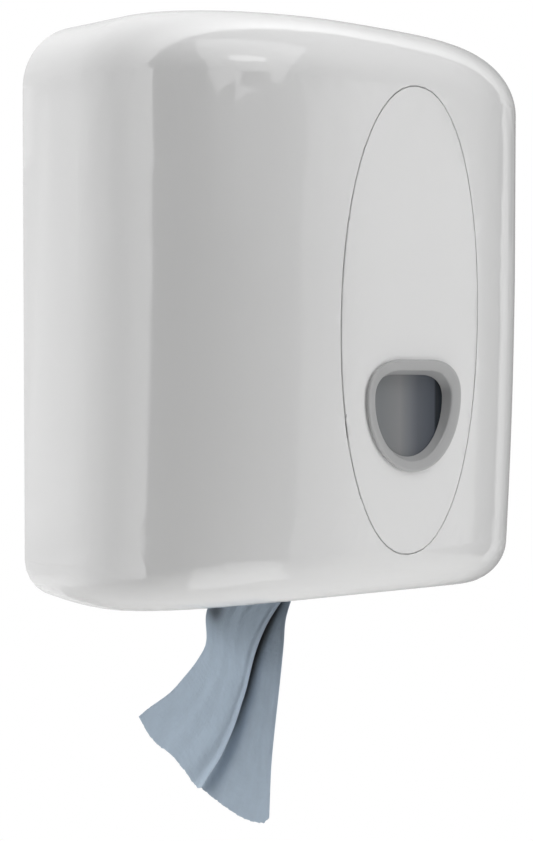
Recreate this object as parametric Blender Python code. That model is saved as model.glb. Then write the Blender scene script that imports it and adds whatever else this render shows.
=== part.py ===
"""Wall-mounted centrefeed roll dispenser with a drop-down cover, in metres.

The wall is the plane y = 0, the front looks towards -Y and +Z is up. The origin lies on
the back plate's wall face, at the mid height of the cover.
"""

import math

import bmesh
import bpy
from mathutils import Matrix, Vector

# Fits shared by all pieces
CLEARANCE = 0.0003
OVERRUN = 0.005
SMOOTH_ANGLE = math.radians(30)

# Cover shell
COVER_WIDTH = 0.272
COVER_HEIGHT = 0.340
COVER_DEPTH = 0.200
COVER_WALL = 0.003
FRONT_HALF_SPAN = 0.016
FRONT_RADIUS = 0.290
TOP_EDGE_RADIUS = 0.042
BOTTOM_EDGE_RADIUS = 0.024
SIDE_DRAFT = 0.007
TOP_DRAFT = 0.0315
BOTTOM_DRAFT = 0.0235
BOTTOM_CROWN = 0.0065
FRONT_LEAN = 0.0085
LEAN_HEIGHT = 0.211
WALL_GAP = 0.0015
REAR_STEPS = 4
CORNER_STEPS = 12
FRONT_STEPS = 9
TOP_EDGE_STEPS = 8
BOTTOM_EDGE_STEPS = 6
SIDE_LEVELS = 9

CORNER_RADIUS = COVER_WIDTH / 2 - FRONT_HALF_SPAN
BOTTOM_Z = -COVER_HEIGHT / 2
TOP_Z = COVER_HEIGHT / 2
LEAN_TOP_Z = BOTTOM_Z + LEAN_HEIGHT

# Hinge along the bottom rear edge
HINGE_RISE = 0.008
HINGE_BACK = 0.012
HINGE_SETBACK = 0.038
HINGE_SIDES = 16
PIN_RADIUS = 0.0025
PIN_HEAD_RADIUS = 0.004
PIN_HEAD_LENGTH = 0.0015
PIN_CHAMFER = 0.0006
EAR_RADIUS = 0.0047
EAR_WIDTH = 0.0054
EAR_ROOT = 0.002
LUG_RADIUS = 0.005
LUG_WIDTH = 0.0055
LUG_REACH = 0.018
LUG_NOSE = 0.002
SLOT_SETBACK = 0.006
SLOT_MARGIN = 0.004
HEEL_RADIUS = 0.011

HINGE_SPREAD = COVER_WIDTH / 2 - HINGE_SETBACK
HINGE_Y = -HINGE_BACK
HINGE_Z = BOTTOM_Z + HINGE_RISE

# Front inlay, an elliptical panel seated in the cover's front
INLAY_HALF_WIDTH = 0.0429
INLAY_HALF_HEIGHT = 0.1181
INLAY_CENTRE_DROP = 0.0126
INLAY_POWER = 2.13
INLAY_THICKNESS = 0.0014
INLAY_SEAM = 0.0005
INLAY_SIDES = 64

# Window: bezel, lens and retainer
WINDOW_HALF_WIDTH = 0.0297
WINDOW_HEIGHT = 0.0572
WINDOW_TOP_DROP = 0.0314
WINDOW_FLAT_HALF = 0.0085
WINDOW_SHOULDER = 0.0192
WINDOW_SHOULDER_POWER = 2.28
WINDOW_POINT_POWER = 2.02
WINDOW_SHOULDER_STEPS = 8
WINDOW_POINT_STEPS = 12
BEZEL_PROUD = 0.0025
BEZEL_BAND = 0.0077
BEZEL_TUBE_WALL = 0.0025
BEZEL_DEPTH = 0.008
LENS_THICKNESS = 0.002
RETAINER_WALL = 0.003
RETAINER_LIP = 0.0015
RETAINER_OVERLAP = 0.0015

# Back plate
PLATE_THICKNESS = 0.003
PLATE_FLANGE_DEPTH = 0.015
PLATE_FLANGE_WALL = 0.0025
PLATE_CLEARANCE = 0.004
PLATE_RISE = 0.020
PLATE_FOOT_RADIUS = 0.010
PLATE_CORNER_STEPS = 6
PLATE_RIB_SPREAD = 0.045
PLATE_RIB_WIDTH = 0.0025
PLATE_RIB_DEPTH = 0.009
PLATE_RIB_HEIGHT = 0.200
FIXING_RADIUS = 0.0035
FIXING_SETBACK = 0.036
FIXING_RISE = 0.110
FIXING_DROP = 0.090
FIXING_SIDES = 16

FIXING_SPREAD = COVER_WIDTH / 2 - FIXING_SETBACK

# Paper roll, and the height at which it stands
SHELF_RISE = 0.058
ROLL_REAR_GAP = 0.012
ROLL_FRONT_GAP = 0.018
ROLL_HEADROOM = 0.087
ROLL_BORE_RADIUS = 0.0335
ROLL_EDGE = 0.0015
ROLL_SIDES = 48

ROLL_RADIUS = (COVER_DEPTH - ROLL_REAR_GAP - ROLL_FRONT_GAP) / 2
ROLL_Y = -ROLL_REAR_GAP - ROLL_RADIUS
ROLL_HEIGHT = COVER_HEIGHT - SHELF_RISE - ROLL_HEADROOM

# Roll shelf
SHELF_THICKNESS = 0.003
SHELF_MARGIN = 0.005
SHELF_STEPS = 20
SHELF_RIM_HEIGHT = 0.006
SHELF_RIM_WALL = 0.0025
SHELF_RIM_SETBACK = 0.030
SHELF_FLANGE_HEIGHT = 0.034
SHELF_FLANGE_SETBACK = 0.005
SHELF_SCREW_SETBACK = 0.015
SHELF_SCREW_DROP = 0.010
SHELF_SCREW_PITCH = 0.014
GUSSET_SETBACK = 0.025
GUSSET_WIDTH = 0.003
GUSSET_REACH = 0.027
GUSSET_HEIGHT = 0.028
GUSSET_TOE = 0.003
SEAT_OVERLAP = 0.001

SHELF_RADIUS = ROLL_RADIUS + SHELF_MARGIN
SHELF_FLANGE_HALF_WIDTH = SHELF_RADIUS - SHELF_FLANGE_SETBACK
SHELF_SCREW_SPREAD = SHELF_FLANGE_HALF_WIDTH - SHELF_SCREW_SETBACK
GUSSET_SPREAD = SHELF_FLANGE_HALF_WIDTH - GUSSET_SETBACK
SHELF_TOP_Z = BOTTOM_Z + SHELF_RISE
SHELF_BOTTOM_Z = SHELF_TOP_Z - SHELF_THICKNESS

# Self-tapping screws and the bosses they bite
BOSS_RADIUS = 0.0048
BOSS_LENGTH = 0.009
SCREW_RADIUS = 0.00175
SCREW_LENGTH = 0.009
SCREW_HEAD_RADIUS = 0.0036
SCREW_HEAD_HEIGHT = 0.0024
SCREW_SIDES = 12

BOSS_FACE_Y = -(PLATE_THICKNESS + BOSS_LENGTH)
SEAT_Y = BOSS_FACE_Y - CLEARANCE

# Nozzle
NOZZLE_NECK_RADIUS = 0.0266
NOZZLE_WALL = 0.0022
NOZZLE_NECK_RISE = 0.0055
NOZZLE_FLANGE_RADIUS = 0.033
NOZZLE_FLANGE_THICKNESS = 0.003
NOZZLE_OUTLET_RADIUS = 0.0155
NOZZLE_CONE_HEIGHT = 0.0152
NOZZLE_SPOUT_HEIGHT = 0.0065
NOZZLE_SIDES = 40
BAYONET_RADIUS = 0.031
BAYONET_HEIGHT = 0.003
BAYONET_HALF_ANGLE = math.radians(12)
BAYONET_NOTCH_HALF_ANGLE = math.radians(16)
BAYONET_TURN = math.radians(45)
BAYONET_STEPS = 4
THUMB_TAB_RADIUS = 0.038
THUMB_TAB_HALF_ANGLE = math.radians(10)
STAR_THICKNESS = 0.001
STAR_HOLE_RADIUS = 0.0055
STAR_SLIT_RADIUS = 0.0115
STAR_SLIT_WIDTH = 0.0006
STAR_PETALS = 8
STAR_PETAL_STEPS = 3
RING_WALL = 0.0017
RING_THICKNESS = 0.0016
RING_LIP = 0.0034
RING_HEIGHT = 0.0055

NOZZLE_FLANGE_TOP_Z = SHELF_BOTTOM_Z - CLEARANCE
NOZZLE_FLANGE_Z = NOZZLE_FLANGE_TOP_Z - NOZZLE_FLANGE_THICKNESS
NOZZLE_CONE_Z = NOZZLE_FLANGE_Z - NOZZLE_CONE_HEIGHT
NOZZLE_END_Z = NOZZLE_CONE_Z - NOZZLE_SPOUT_HEIGHT
STAR_TOP_Z = NOZZLE_END_Z - CLEARANCE
STAR_BOTTOM_Z = STAR_TOP_Z - STAR_THICKNESS
RING_TOP_Z = STAR_BOTTOM_Z - CLEARANCE
RING_BOTTOM_Z = RING_TOP_Z - RING_THICKNESS

# Cover's paper opening
OUTLET_MARGIN = 0.023
OUTLET_SIDES = 48

OUTLET_RADIUS = ROLL_RADIUS - OUTLET_MARGIN

# Paper strand inside, and the tail outside
FEED_RADIUS = 0.010
FEED_START_RISE = 0.070
FEED_LOBES = 6
FEED_LOBE_SIDES = 4
FEED_LOBE_SHARE = 0.22
FEED_TWIST = math.radians(200)
FEED_RINGS = 18
TAIL_START_DROP = 0.0008
TAIL_THICKNESS = 0.0012
TAIL_SWING = math.radians(25)
TAIL_LENGTH = 0.1508
TAIL_CORNER_DROP = 0.0864
TAIL_CORNER_REACH = 0.0971
TAIL_RIGHT_REACH = 0.0229
TAIL_FOLD_DEPTH = 0.0130
TAIL_BELLY = 0.0100
TAIL_FOLD_SPREAD_SHARE = 0.085
TAIL_FOLD_START_SHARE = 0.80
TAIL_FOLD_DRIFT_SHARE = 0.38
TAIL_RIDGE_SHARE = 0.55
TAIL_CURL_SHARE = 0.60
TAIL_FLATTEN_SHARE = 0.45
TAIL_OPEN_SHARE = 0.60
TAIL_LEFT_SHARES = (
    (0, 0.05), (0.10, 0.27), (0.20, 0.50), (0.31, 0.60), (0.53, 0.61), (0.64, 0.66),
    (0.74, 0.73), (0.85, 0.82), (0.95, 0.945), (1, 1),
)
TAIL_RIGHT_SHARES = (
    (0, -0.20), (0.10, 0.25), (0.22, 0.565), (0.32, 0.645), (0.51, 0.775),
    (0.78, 0.945), (1, 1),
)
TAIL_TEAR_SHARES = (
    (0, 0), (0.10, 0.21), (0.24, 0.365), (0.34, 0.51), (0.43, 0.66), (0.50, 0.735),
    (0.60, 0.81), (0.78, 0.95), (0.95, 1), (1, 0.95),
)
TAIL_ACROSS = 28
TAIL_DOWN = 18

# Lock in the cover's top
LOCK_BACK = 0.032
LOCK_PAD_RADIUS = 0.014
LOCK_PAD_SKIRT = 0.001
LOCK_SIDES = 24
HOUSING_RADIUS = 0.009
HOUSING_FLANGE_RADIUS = 0.012
HOUSING_FLANGE_THICKNESS = 0.002
HOUSING_LENGTH = 0.0235
HOUSING_CHAMFER = 0.0006
BARREL_RADIUS = 0.006
BARREL_END = 0.003
BARREL_BORE_DEPTH = 0.0075
KEYWAY_LENGTH = 0.007
KEYWAY_WIDTH = 0.0014
KEYWAY_DEPTH = 0.004
NUT_RADIUS = 0.0135
NUT_THICKNESS = 0.005
NUT_SIDES = 6
CAM_THICKNESS = 0.002
CAM_HALF_WIDTH = 0.0055
CAM_REACH = 0.021
CAM_END_STEPS = 6
CAM_SCREW_RADIUS = 0.002
CAM_SCREW_HEAD_RADIUS = 0.0036
CAM_SCREW_HEAD_HEIGHT = 0.0022
CAM_SCREW_LENGTH = 0.006

LOCK_Y = -LOCK_BACK

# Striker
STRIKER_GAP = 0.0005
STRIKER_THICKNESS = 0.002
STRIKER_NEAR = 0.011
STRIKER_WIDTH = 0.010
STRIKER_DROP = 0.026
STRIKER_LIP = 0.0038
STRIKER_PLAY = 0.0008
STRIKER_SCREW_DROP = 0.014


def clear_scene():
    for old in list(bpy.data.objects):
        bpy.data.objects.remove(old, do_unlink=True)


def finish_of(name, colour, roughness, metallic=0.0):
    """A Principled material of one plain colour."""
    made = bpy.data.materials.new(name)
    made.use_nodes = True
    shader = made.node_tree.nodes["Principled BSDF"]
    shader.inputs["Base Color"].default_value = (*colour, 1.0)
    shader.inputs["Roughness"].default_value = roughness
    shader.inputs["Metallic"].default_value = metallic
    return made


def mesh_object(name, points, faces, material=None, split=False):
    """A closed mesh object in world coordinates, with its faces turned outwards."""
    mesh = bpy.data.meshes.new(name)
    mesh.from_pydata([tuple(p) for p in points], [], faces)
    work = bmesh.new()
    work.from_mesh(mesh)
    bmesh.ops.recalc_face_normals(work, faces=work.faces)
    if split:
        bmesh.ops.triangulate(work, faces=work.faces)
    work.to_mesh(mesh)
    work.free()
    mesh.shade_smooth()
    mesh.set_sharp_from_angle(angle=SMOOTH_ANGLE)
    made = bpy.data.objects.new(name, mesh)
    bpy.context.scene.collection.objects.link(made)
    if material:
        mesh.materials.append(material)
    return made


def loft(name, rings, material=None, split=False):
    """Skins rings of equally many points and closes both ends.

    The ends of a split loft are closed by strips from side to side, so that they can
    be curved from back to front. Its rings are symmetric left to right.
    """
    count = len(rings[0])
    points = [p for ring in rings for p in ring]
    faces = []
    for low in (0, len(points) - count):
        if not split:
            faces.append(tuple(range(low, low + count)))
            continue
        for i in range(count // 2 - 1):
            far = low + count - 1 - i
            faces.append((low + i, low + i + 1, far - 1, far))
    for level in range(len(rings) - 1):
        low = level * count
        for i in range(count):
            j = (i + 1) % count
            faces.append((low + i, low + j, low + count + j, low + count + i))
    return mesh_object(name, points, faces, material, split)


def prism(name, outline, axis, start, end, material=None):
    """Extrudes a flat outline along axis X, Y or Z from start to end."""
    place = {
        "X": lambda a, b, h: (h, a, b),
        "Y": lambda a, b, h: (a, h, b),
        "Z": lambda a, b, h: (a, b, h),
    }[axis]
    rings = [[place(a, b, h) for a, b in outline] for h in (start, end)]
    return loft(name, rings, material)


def block(name, low, high, material=None):
    outline = [(low[0], low[1]), (high[0], low[1]), (high[0], high[1]), (low[0], high[1])]
    return prism(name, outline, "Z", low[2], high[2], material)


def turned(name, profile, centre, axis, sides, material=None):
    """Turns a closed profile of (radius, height) points about an axis through centre."""
    place = {
        "X": lambda r, h, c, s: (h, r * c, r * s),
        "Y": lambda r, h, c, s: (r * c, h, r * s),
        "Z": lambda r, h, c, s: (r * c, r * s, h),
    }[axis]
    centre = Vector(centre)
    points = []
    rows = []
    for r, h in profile:
        if r == 0:
            points.append(centre + Vector(place(0, h, 1, 0)))
            rows.append([len(points) - 1] * sides)
            continue
        rows.append(list(range(len(points), len(points) + sides)))
        for k in range(sides):
            a = math.tau * k / sides
            points.append(centre + Vector(place(r, h, math.cos(a), math.sin(a))))
    faces = []
    for i, row in enumerate(rows):
        after = rows[(i + 1) % len(rows)]
        for k in range(sides):
            j = (k + 1) % sides
            corners = dict.fromkeys((row[k], row[j], after[j], after[k]))
            if len(corners) > 2:
                faces.append(tuple(corners))
    return mesh_object(name, points, faces, material)


def combine(target, other, operation):
    """Adds a Boolean and hides the other object, which is then only a guide."""
    step = target.modifiers.new(other.name, "BOOLEAN")
    step.operation = operation
    step.solver = "EXACT"
    step.object = other
    other.hide_render = True
    other.display_type = "WIRE"


def cut(target, *others):
    for other in others:
        combine(target, other, "DIFFERENCE")


def join(target, *others):
    for other in others:
        combine(target, other, "UNION")


def keep(target, other):
    combine(target, other, "INTERSECT")


def arc(centre, radius, start, end, steps):
    """Points on a circle from one angle to another, both ends included."""
    angles = [start + (end - start) * i / steps for i in range(steps + 1)]
    return [
        (centre[0] + radius * math.cos(a), centre[1] + radius * math.sin(a)) for a in angles
    ]


def circle(centre, radius, sides):
    return arc(centre, radius, 0, math.tau, sides)[:-1]


def joint_axis(name, place):
    """An empty on a joint's axis, which carries the pieces that the joint moves."""
    empty = bpy.data.objects.new(name, None)
    empty.location = place
    bpy.context.scene.collection.objects.link(empty)
    return empty


def carry(empty, *pieces):
    for piece in pieces:
        piece.data.transform(Matrix.Translation(-empty.location))
        piece.parent = empty


def lean_at(height):
    """How far the front stands back at this height, towards the cover's foot."""
    below = max(0, LEAN_TOP_Z - height) / LEAN_HEIGHT
    return FRONT_LEAN * below**2


def drafted(x, y, z):
    """Narrows the cover towards its front, as a mould needs, and crowns its bottom."""
    forward = -y / COVER_DEPTH
    narrow = 1 - SIDE_DRAFT * forward / (COVER_WIDTH / 2)
    shorter = TOP_DRAFT * forward
    if z < 0:
        crown = BOTTOM_CROWN * (1 - (2 * forward - 1) ** 2)
        shorter = BOTTOM_DRAFT * forward - crown
    return x * narrow, y, z * (1 - shorter / (COVER_HEIGHT / 2))


def cover_ring(height, inset, edge, rear_y):
    """One level of the cover: open side at the wall, round corners, bowed front."""
    half = COVER_WIDTH / 2 - inset - edge
    corner = CORNER_RADIUS - inset - edge
    front = FRONT_RADIUS - inset - edge
    depth = COVER_DEPTH - lean_at(height) - inset - edge
    front_y = front - depth
    swing = math.asin((half - corner) / (front - corner))
    corner_y = front_y - (front - corner) * math.cos(swing)
    quarter = math.pi / 2
    shares = [i / REAR_STEPS for i in range(REAR_STEPS)]
    right = [(half, rear_y + (corner_y - rear_y) * share) for share in shares]
    right += arc((half - corner, corner_y), corner, 0, swing - quarter, CORNER_STEPS)
    middle = arc((0, front_y), front, swing - quarter, -swing - quarter, FRONT_STEPS)
    outline = right + middle[1:-1] + [(-x, y) for x, y in reversed(right)]
    return [drafted(x, y, height) for x, y in outline]


def cover_solid(name, inset, rear_y=-WALL_GAP):
    """The cover's outer form as a solid, drawn in by inset all round but at the wall."""
    half = COVER_HEIGHT / 2 - inset
    top = TOP_EDGE_RADIUS - inset
    bottom = BOTTOM_EDGE_RADIUS - inset
    levels = []
    for i in range(BOTTOM_EDGE_STEPS):
        a = math.pi / 2 * i / BOTTOM_EDGE_STEPS
        levels.append((-half + bottom * (1 - math.cos(a)), bottom * (1 - math.sin(a))))
    for i in range(SIDE_LEVELS):
        share = i / SIDE_LEVELS
        levels.append(((-half + bottom) * (1 - share) + (half - top) * share, 0))
    for i in range(TOP_EDGE_STEPS + 1):
        a = math.pi / 2 * i / TOP_EDGE_STEPS
        levels.append((half - top * (1 - math.sin(a)), top * (1 - math.cos(a))))
    rings = [cover_ring(z, inset, edge, rear_y) for z, edge in levels]
    return loft(name, rings, split=True)


def power_arc(half_width, depth, power, steps):
    """A quarter of a superellipse, from its side point to its middle point."""
    points = []
    for i in range(steps + 1):
        a = math.pi / 2 * i / steps
        points.append(
            (half_width * math.cos(a) ** (2 / power), depth * math.sin(a) ** (2 / power))
        )
    points[-1] = (0, depth)
    return points


def window_outline(offset):
    """The shield: flat top, round shoulders, sides that curve in to a blunt point."""
    half = WINDOW_HALF_WIDTH - offset
    top_z = -WINDOW_TOP_DROP - offset
    bottom_z = -WINDOW_TOP_DROP - WINDOW_HEIGHT + offset
    shoulder_z = -WINDOW_TOP_DROP - WINDOW_SHOULDER
    shoulder = power_arc(
        half - WINDOW_FLAT_HALF,
        top_z - shoulder_z,
        WINDOW_SHOULDER_POWER,
        WINDOW_SHOULDER_STEPS,
    )
    point = power_arc(half, shoulder_z - bottom_z, WINDOW_POINT_POWER, WINDOW_POINT_STEPS)
    right = [(x, shoulder_z - z) for x, z in reversed(point)]
    right += [(WINDOW_FLAT_HALF + x, shoulder_z + z) for x, z in shoulder[1:]]
    return right + [(-x, z) for x, z in reversed(right[1:])]


def window_prism(name, offset, front_y, rear_y, material=None):
    return prism(name, window_outline(offset), "Y", front_y, rear_y, material)


def inlay_outline(margin):
    """A slightly squared ellipse, as (x, z)."""
    right = power_arc(
        INLAY_HALF_WIDTH + margin, INLAY_HALF_HEIGHT + margin, INLAY_POWER, INLAY_SIDES // 4
    )
    upper = right + [(-x, z) for x, z in reversed(right[:-1])]
    outline = upper + [(x, -z) for x, z in reversed(upper[1:-1])]
    return [(x, z - INLAY_CENTRE_DROP) for x, z in outline]


def plate_outline(inset):
    """The back plate's outline: it follows the cover's opening."""
    half = COVER_WIDTH / 2 - COVER_WALL - PLATE_CLEARANCE - inset
    top = TOP_Z - COVER_WALL - PLATE_CLEARANCE - inset
    bottom = BOTTOM_Z + PLATE_RISE + inset
    radius = TOP_EDGE_RADIUS - COVER_WALL - PLATE_CLEARANCE - inset
    foot = PLATE_FOOT_RADIUS - inset
    quarter = math.pi / 2
    upper = arc((half - radius, top - radius), radius, 0, quarter, PLATE_CORNER_STEPS)
    lower = arc((half - foot, bottom + foot), foot, -quarter, 0, PLATE_CORNER_STEPS)
    right = lower + upper
    return right + [(-x, z) for x, z in reversed(right)]


def hinge_outline(radius, steps, tail):
    """A round eye about the hinge axis, drawn out to the points of its tail."""
    start = math.atan2(tail[-1][1] - HINGE_Z, tail[-1][0] - HINGE_Y)
    end = math.atan2(tail[0][1] - HINGE_Z, tail[0][0] - HINGE_Y)
    reach_start = math.hypot(tail[-1][0] - HINGE_Y, tail[-1][1] - HINGE_Z)
    reach_end = math.hypot(tail[0][0] - HINGE_Y, tail[0][1] - HINGE_Z)
    start += math.acos(radius / reach_start)
    end -= math.acos(radius / reach_end)
    if end < start:
        end += math.tau
    return arc((HINGE_Y, HINGE_Z), radius, start, end, steps) + tail


def shelf_screw_places():
    """The four shelf screws as (x, z)."""
    return [
        (side * SHELF_SCREW_SPREAD, SHELF_BOTTOM_Z - SHELF_SCREW_DROP - row * SHELF_SCREW_PITCH)
        for side in (-1, 1)
        for row in (0, 1)
    ]


def lock_pad_z():
    """Flat seat for the lock, at the cover's top where the pad meets it nearest the wall."""
    return drafted(0, LOCK_Y + LOCK_PAD_RADIUS, TOP_Z)[2]


def lock_pad_low_z():
    """Underside of the lock's pad, just below the wall where the wall is lowest."""
    return drafted(0, LOCK_Y - LOCK_PAD_RADIUS, TOP_Z - COVER_WALL)[2] - LOCK_PAD_SKIRT


def cam_top_z():
    return lock_pad_z() + CLEARANCE - HOUSING_LENGTH - BARREL_END - CLEARANCE


def striker_run_z():
    """Top of the striker's level run, just under the cam."""
    return cam_top_z() - CAM_THICKNESS - STRIKER_GAP


def striker_screw_z():
    return striker_run_z() - STRIKER_SCREW_DROP


def striker_centre_x():
    return -(STRIKER_NEAR + STRIKER_WIDTH / 2)


def make_back_plate(material):
    plate = prism(
        "back_plate", plate_outline(0), "Y", -PLATE_FLANGE_DEPTH, 0, material
    )
    hollow = prism(
        "plate_hollow",
        plate_outline(PLATE_FLANGE_WALL),
        "Y",
        -PLATE_FLANGE_DEPTH - OVERRUN,
        -PLATE_THICKNESS,
    )
    cut(plate, hollow)
    for side in (-1, 1):
        rib = block(
            "plate_rib",
            (
                side * PLATE_RIB_SPREAD - PLATE_RIB_WIDTH / 2,
                -PLATE_RIB_DEPTH,
                -PLATE_RIB_HEIGHT / 2,
            ),
            (
                side * PLATE_RIB_SPREAD + PLATE_RIB_WIDTH / 2,
                -PLATE_THICKNESS / 2,
                PLATE_RIB_HEIGHT / 2,
            ),
        )
        join(plate, rib)
    screws = shelf_screw_places() + [(striker_centre_x(), striker_screw_z())]
    for x, z in screws:
        pilot = SCREW_RADIUS + CLEARANCE
        boss = turned(
            "plate_boss",
            [(pilot, -PLATE_THICKNESS / 2), (BOSS_RADIUS, -PLATE_THICKNESS / 2),
             (BOSS_RADIUS, BOSS_FACE_Y), (pilot, BOSS_FACE_Y)],
            (x, 0, z), "Y", SCREW_SIDES,
        )
        join(plate, boss)
    plate_foot_z = BOTTOM_Z + PLATE_RISE
    ear_tail = [
        (-PLATE_FLANGE_DEPTH, plate_foot_z + EAR_ROOT),
        (0, plate_foot_z + EAR_ROOT),
    ]
    outline = hinge_outline(EAR_RADIUS, HINGE_SIDES, list(reversed(ear_tail)))
    for side, bore in zip((-1, 1), hinge_bores("ear_bore")):
        middle = side * HINGE_SPREAD
        ear = prism(
            "plate_ear", outline, "X", middle - EAR_WIDTH / 2, middle + EAR_WIDTH / 2
        )
        cut(ear, bore)
        join(plate, ear)
    for side in (-1, 1):
        for z in (FIXING_RISE, -FIXING_DROP):
            fixing = prism(
                "fixing_hole",
                circle((side * FIXING_SPREAD, z), FIXING_RADIUS, FIXING_SIDES),
                "Y",
                -PLATE_THICKNESS - OVERRUN,
                OVERRUN,
            )
            cut(plate, fixing)
    return plate


def shelf_outline(inset, rear_y):
    """Seen from above: straight sides from the wall, round about the roll."""
    radius = SHELF_RADIUS - inset
    front = arc((0, ROLL_Y), radius, 0, -math.pi, SHELF_STEPS)
    return [(radius, rear_y)] + front + [(-radius, rear_y)]


def sector(inner, outer, middle, half_angle, steps):
    """An arc-shaped tab about the roll's axis, as (x, y)."""
    start = middle - half_angle
    end = middle + half_angle
    return arc((0, ROLL_Y), outer, start, end, steps) + arc(
        (0, ROLL_Y), inner, end, start, steps
    )


def make_roll_shelf(material):
    shelf = prism(
        "roll_shelf", shelf_outline(0, SEAT_Y), "Z", SHELF_BOTTOM_Z, SHELF_TOP_Z, material
    )
    rim_rear_y = SEAT_Y - SHELF_RIM_SETBACK
    rim = prism(
        "shelf_rim",
        shelf_outline(0, rim_rear_y),
        "Z",
        SHELF_TOP_Z - SEAT_OVERLAP,
        SHELF_TOP_Z + SHELF_RIM_HEIGHT,
    )
    rim_hollow = prism(
        "shelf_rim_hollow",
        shelf_outline(SHELF_RIM_WALL, rim_rear_y + OVERRUN),
        "Z",
        SHELF_TOP_Z - SHELF_THICKNESS,
        SHELF_TOP_Z + SHELF_RIM_HEIGHT + OVERRUN,
    )
    cut(rim, rim_hollow)
    flange = block(
        "shelf_flange",
        (
            -SHELF_FLANGE_HALF_WIDTH,
            SEAT_Y - SHELF_THICKNESS,
            SHELF_BOTTOM_Z - SHELF_FLANGE_HEIGHT + SHELF_THICKNESS,
        ),
        (SHELF_FLANGE_HALF_WIDTH, SEAT_Y, SHELF_BOTTOM_Z + SEAT_OVERLAP),
    )
    join(shelf, rim, flange)
    gusset_rear_y = SEAT_Y - SHELF_THICKNESS / 2
    gusset_front_y = ROLL_Y - GUSSET_REACH
    for side in (-1, 1):
        outline = [
            (gusset_rear_y, SHELF_BOTTOM_Z + SEAT_OVERLAP),
            (gusset_rear_y, SHELF_BOTTOM_Z - GUSSET_HEIGHT),
            (gusset_front_y, SHELF_BOTTOM_Z - GUSSET_TOE),
            (gusset_front_y, SHELF_BOTTOM_Z + SEAT_OVERLAP),
        ]
        middle = side * GUSSET_SPREAD
        gusset = prism(
            "shelf_gusset",
            outline,
            "X",
            middle - GUSSET_WIDTH / 2,
            middle + GUSSET_WIDTH / 2,
        )
        join(shelf, gusset)
    low = SHELF_BOTTOM_Z - OVERRUN
    high = SHELF_TOP_Z + OVERRUN
    neck = NOZZLE_NECK_RADIUS + CLEARANCE
    hole = prism("neck_hole", circle((0, ROLL_Y), neck, NOZZLE_SIDES), "Z", low, high)
    cut(shelf, hole)
    for middle in (BAYONET_TURN, BAYONET_TURN + math.pi):
        outline = sector(
            neck - SEAT_OVERLAP,
            BAYONET_RADIUS + SEAT_OVERLAP / 2,
            middle,
            BAYONET_NOTCH_HALF_ANGLE,
            BAYONET_STEPS,
        )
        cut(shelf, prism("bayonet_notch", outline, "Z", low, high))
    for x, z in shelf_screw_places():
        passage = prism(
            "shelf_screw_hole",
            circle((x, z), SCREW_RADIUS + CLEARANCE, SCREW_SIDES),
            "Y",
            SEAT_Y - SHELF_THICKNESS - OVERRUN,
            SEAT_Y + OVERRUN,
        )
        cut(shelf, passage)
    return shelf


def make_screw(name, x, z, under_head_y, material):
    """A pan-head screw that enters towards the wall, seated on the piece it holds."""
    head_y = under_head_y - CLEARANCE
    tip_y = BOSS_FACE_Y + SCREW_LENGTH - CLEARANCE
    taper = SCREW_HEAD_HEIGHT / 3
    profile = [
        (0, tip_y),
        (SCREW_RADIUS / 2, tip_y),
        (SCREW_RADIUS, tip_y - SCREW_RADIUS),
        (SCREW_RADIUS, head_y),
        (SCREW_HEAD_RADIUS, head_y),
        (SCREW_HEAD_RADIUS, head_y - SCREW_HEAD_HEIGHT + taper),
        (SCREW_HEAD_RADIUS - taper, head_y - SCREW_HEAD_HEIGHT),
        (0, head_y - SCREW_HEAD_HEIGHT),
    ]
    return turned(name, profile, (x, 0, z), "Y", SCREW_SIDES, material)


def make_shelf_screws(material):
    for number, (x, z) in enumerate(shelf_screw_places(), start=1):
        make_screw(f"shelf_screw_{number}", x, z, SEAT_Y - SHELF_THICKNESS, material)


def make_striker(seat_y, steel):
    """A bent strip: leg on its boss, level run under the cam, lip in front of the cam."""
    run_z = striker_run_z()
    leg_z = run_z - STRIKER_DROP
    lip_rear_y = LOCK_Y - CAM_HALF_WIDTH - STRIKER_PLAY
    lip_front_y = lip_rear_y - STRIKER_THICKNESS
    outline = [
        (seat_y, leg_z),
        (seat_y, run_z),
        (lip_rear_y, run_z),
        (lip_rear_y, run_z + STRIKER_LIP),
        (lip_front_y, run_z + STRIKER_LIP),
        (lip_front_y, run_z - STRIKER_THICKNESS),
        (seat_y - STRIKER_THICKNESS, run_z - STRIKER_THICKNESS),
        (seat_y - STRIKER_THICKNESS, leg_z),
    ]
    near = -STRIKER_NEAR
    striker = prism("striker", outline, "X", near - STRIKER_WIDTH, near, steel)
    passage = prism(
        "striker_hole",
        circle((striker_centre_x(), striker_screw_z()), SCREW_RADIUS + CLEARANCE, SCREW_SIDES),
        "Y",
        seat_y - STRIKER_THICKNESS - OVERRUN,
        seat_y + OVERRUN,
    )
    cut(striker, passage)
    make_screw(
        "striker_screw",
        striker_centre_x(),
        striker_screw_z(),
        seat_y - STRIKER_THICKNESS,
        steel,
    )
    return striker


def lug_spans():
    """Where the cover's lugs stand either side of each ear, as pairs of x."""
    spans = []
    for side in (-1, 1):
        for outward in (-1, 1):
            near = side * HINGE_SPREAD + outward * (EAR_WIDTH / 2 + CLEARANCE)
            far = near + outward * LUG_WIDTH
            spans.append((min(near, far), max(near, far)))
    return spans


def hinge_bores(name):
    """The two pin holes, each through one ear and its pair of lugs."""
    reach = EAR_WIDTH / 2 + CLEARANCE + LUG_WIDTH + SLOT_MARGIN / 2
    outline = circle((HINGE_Y, HINGE_Z), PIN_RADIUS + CLEARANCE, HINGE_SIDES)
    return [
        prism(name, outline, "X", side * HINGE_SPREAD - reach, side * HINGE_SPREAD + reach)
        for side in (-1, 1)
    ]


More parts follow.
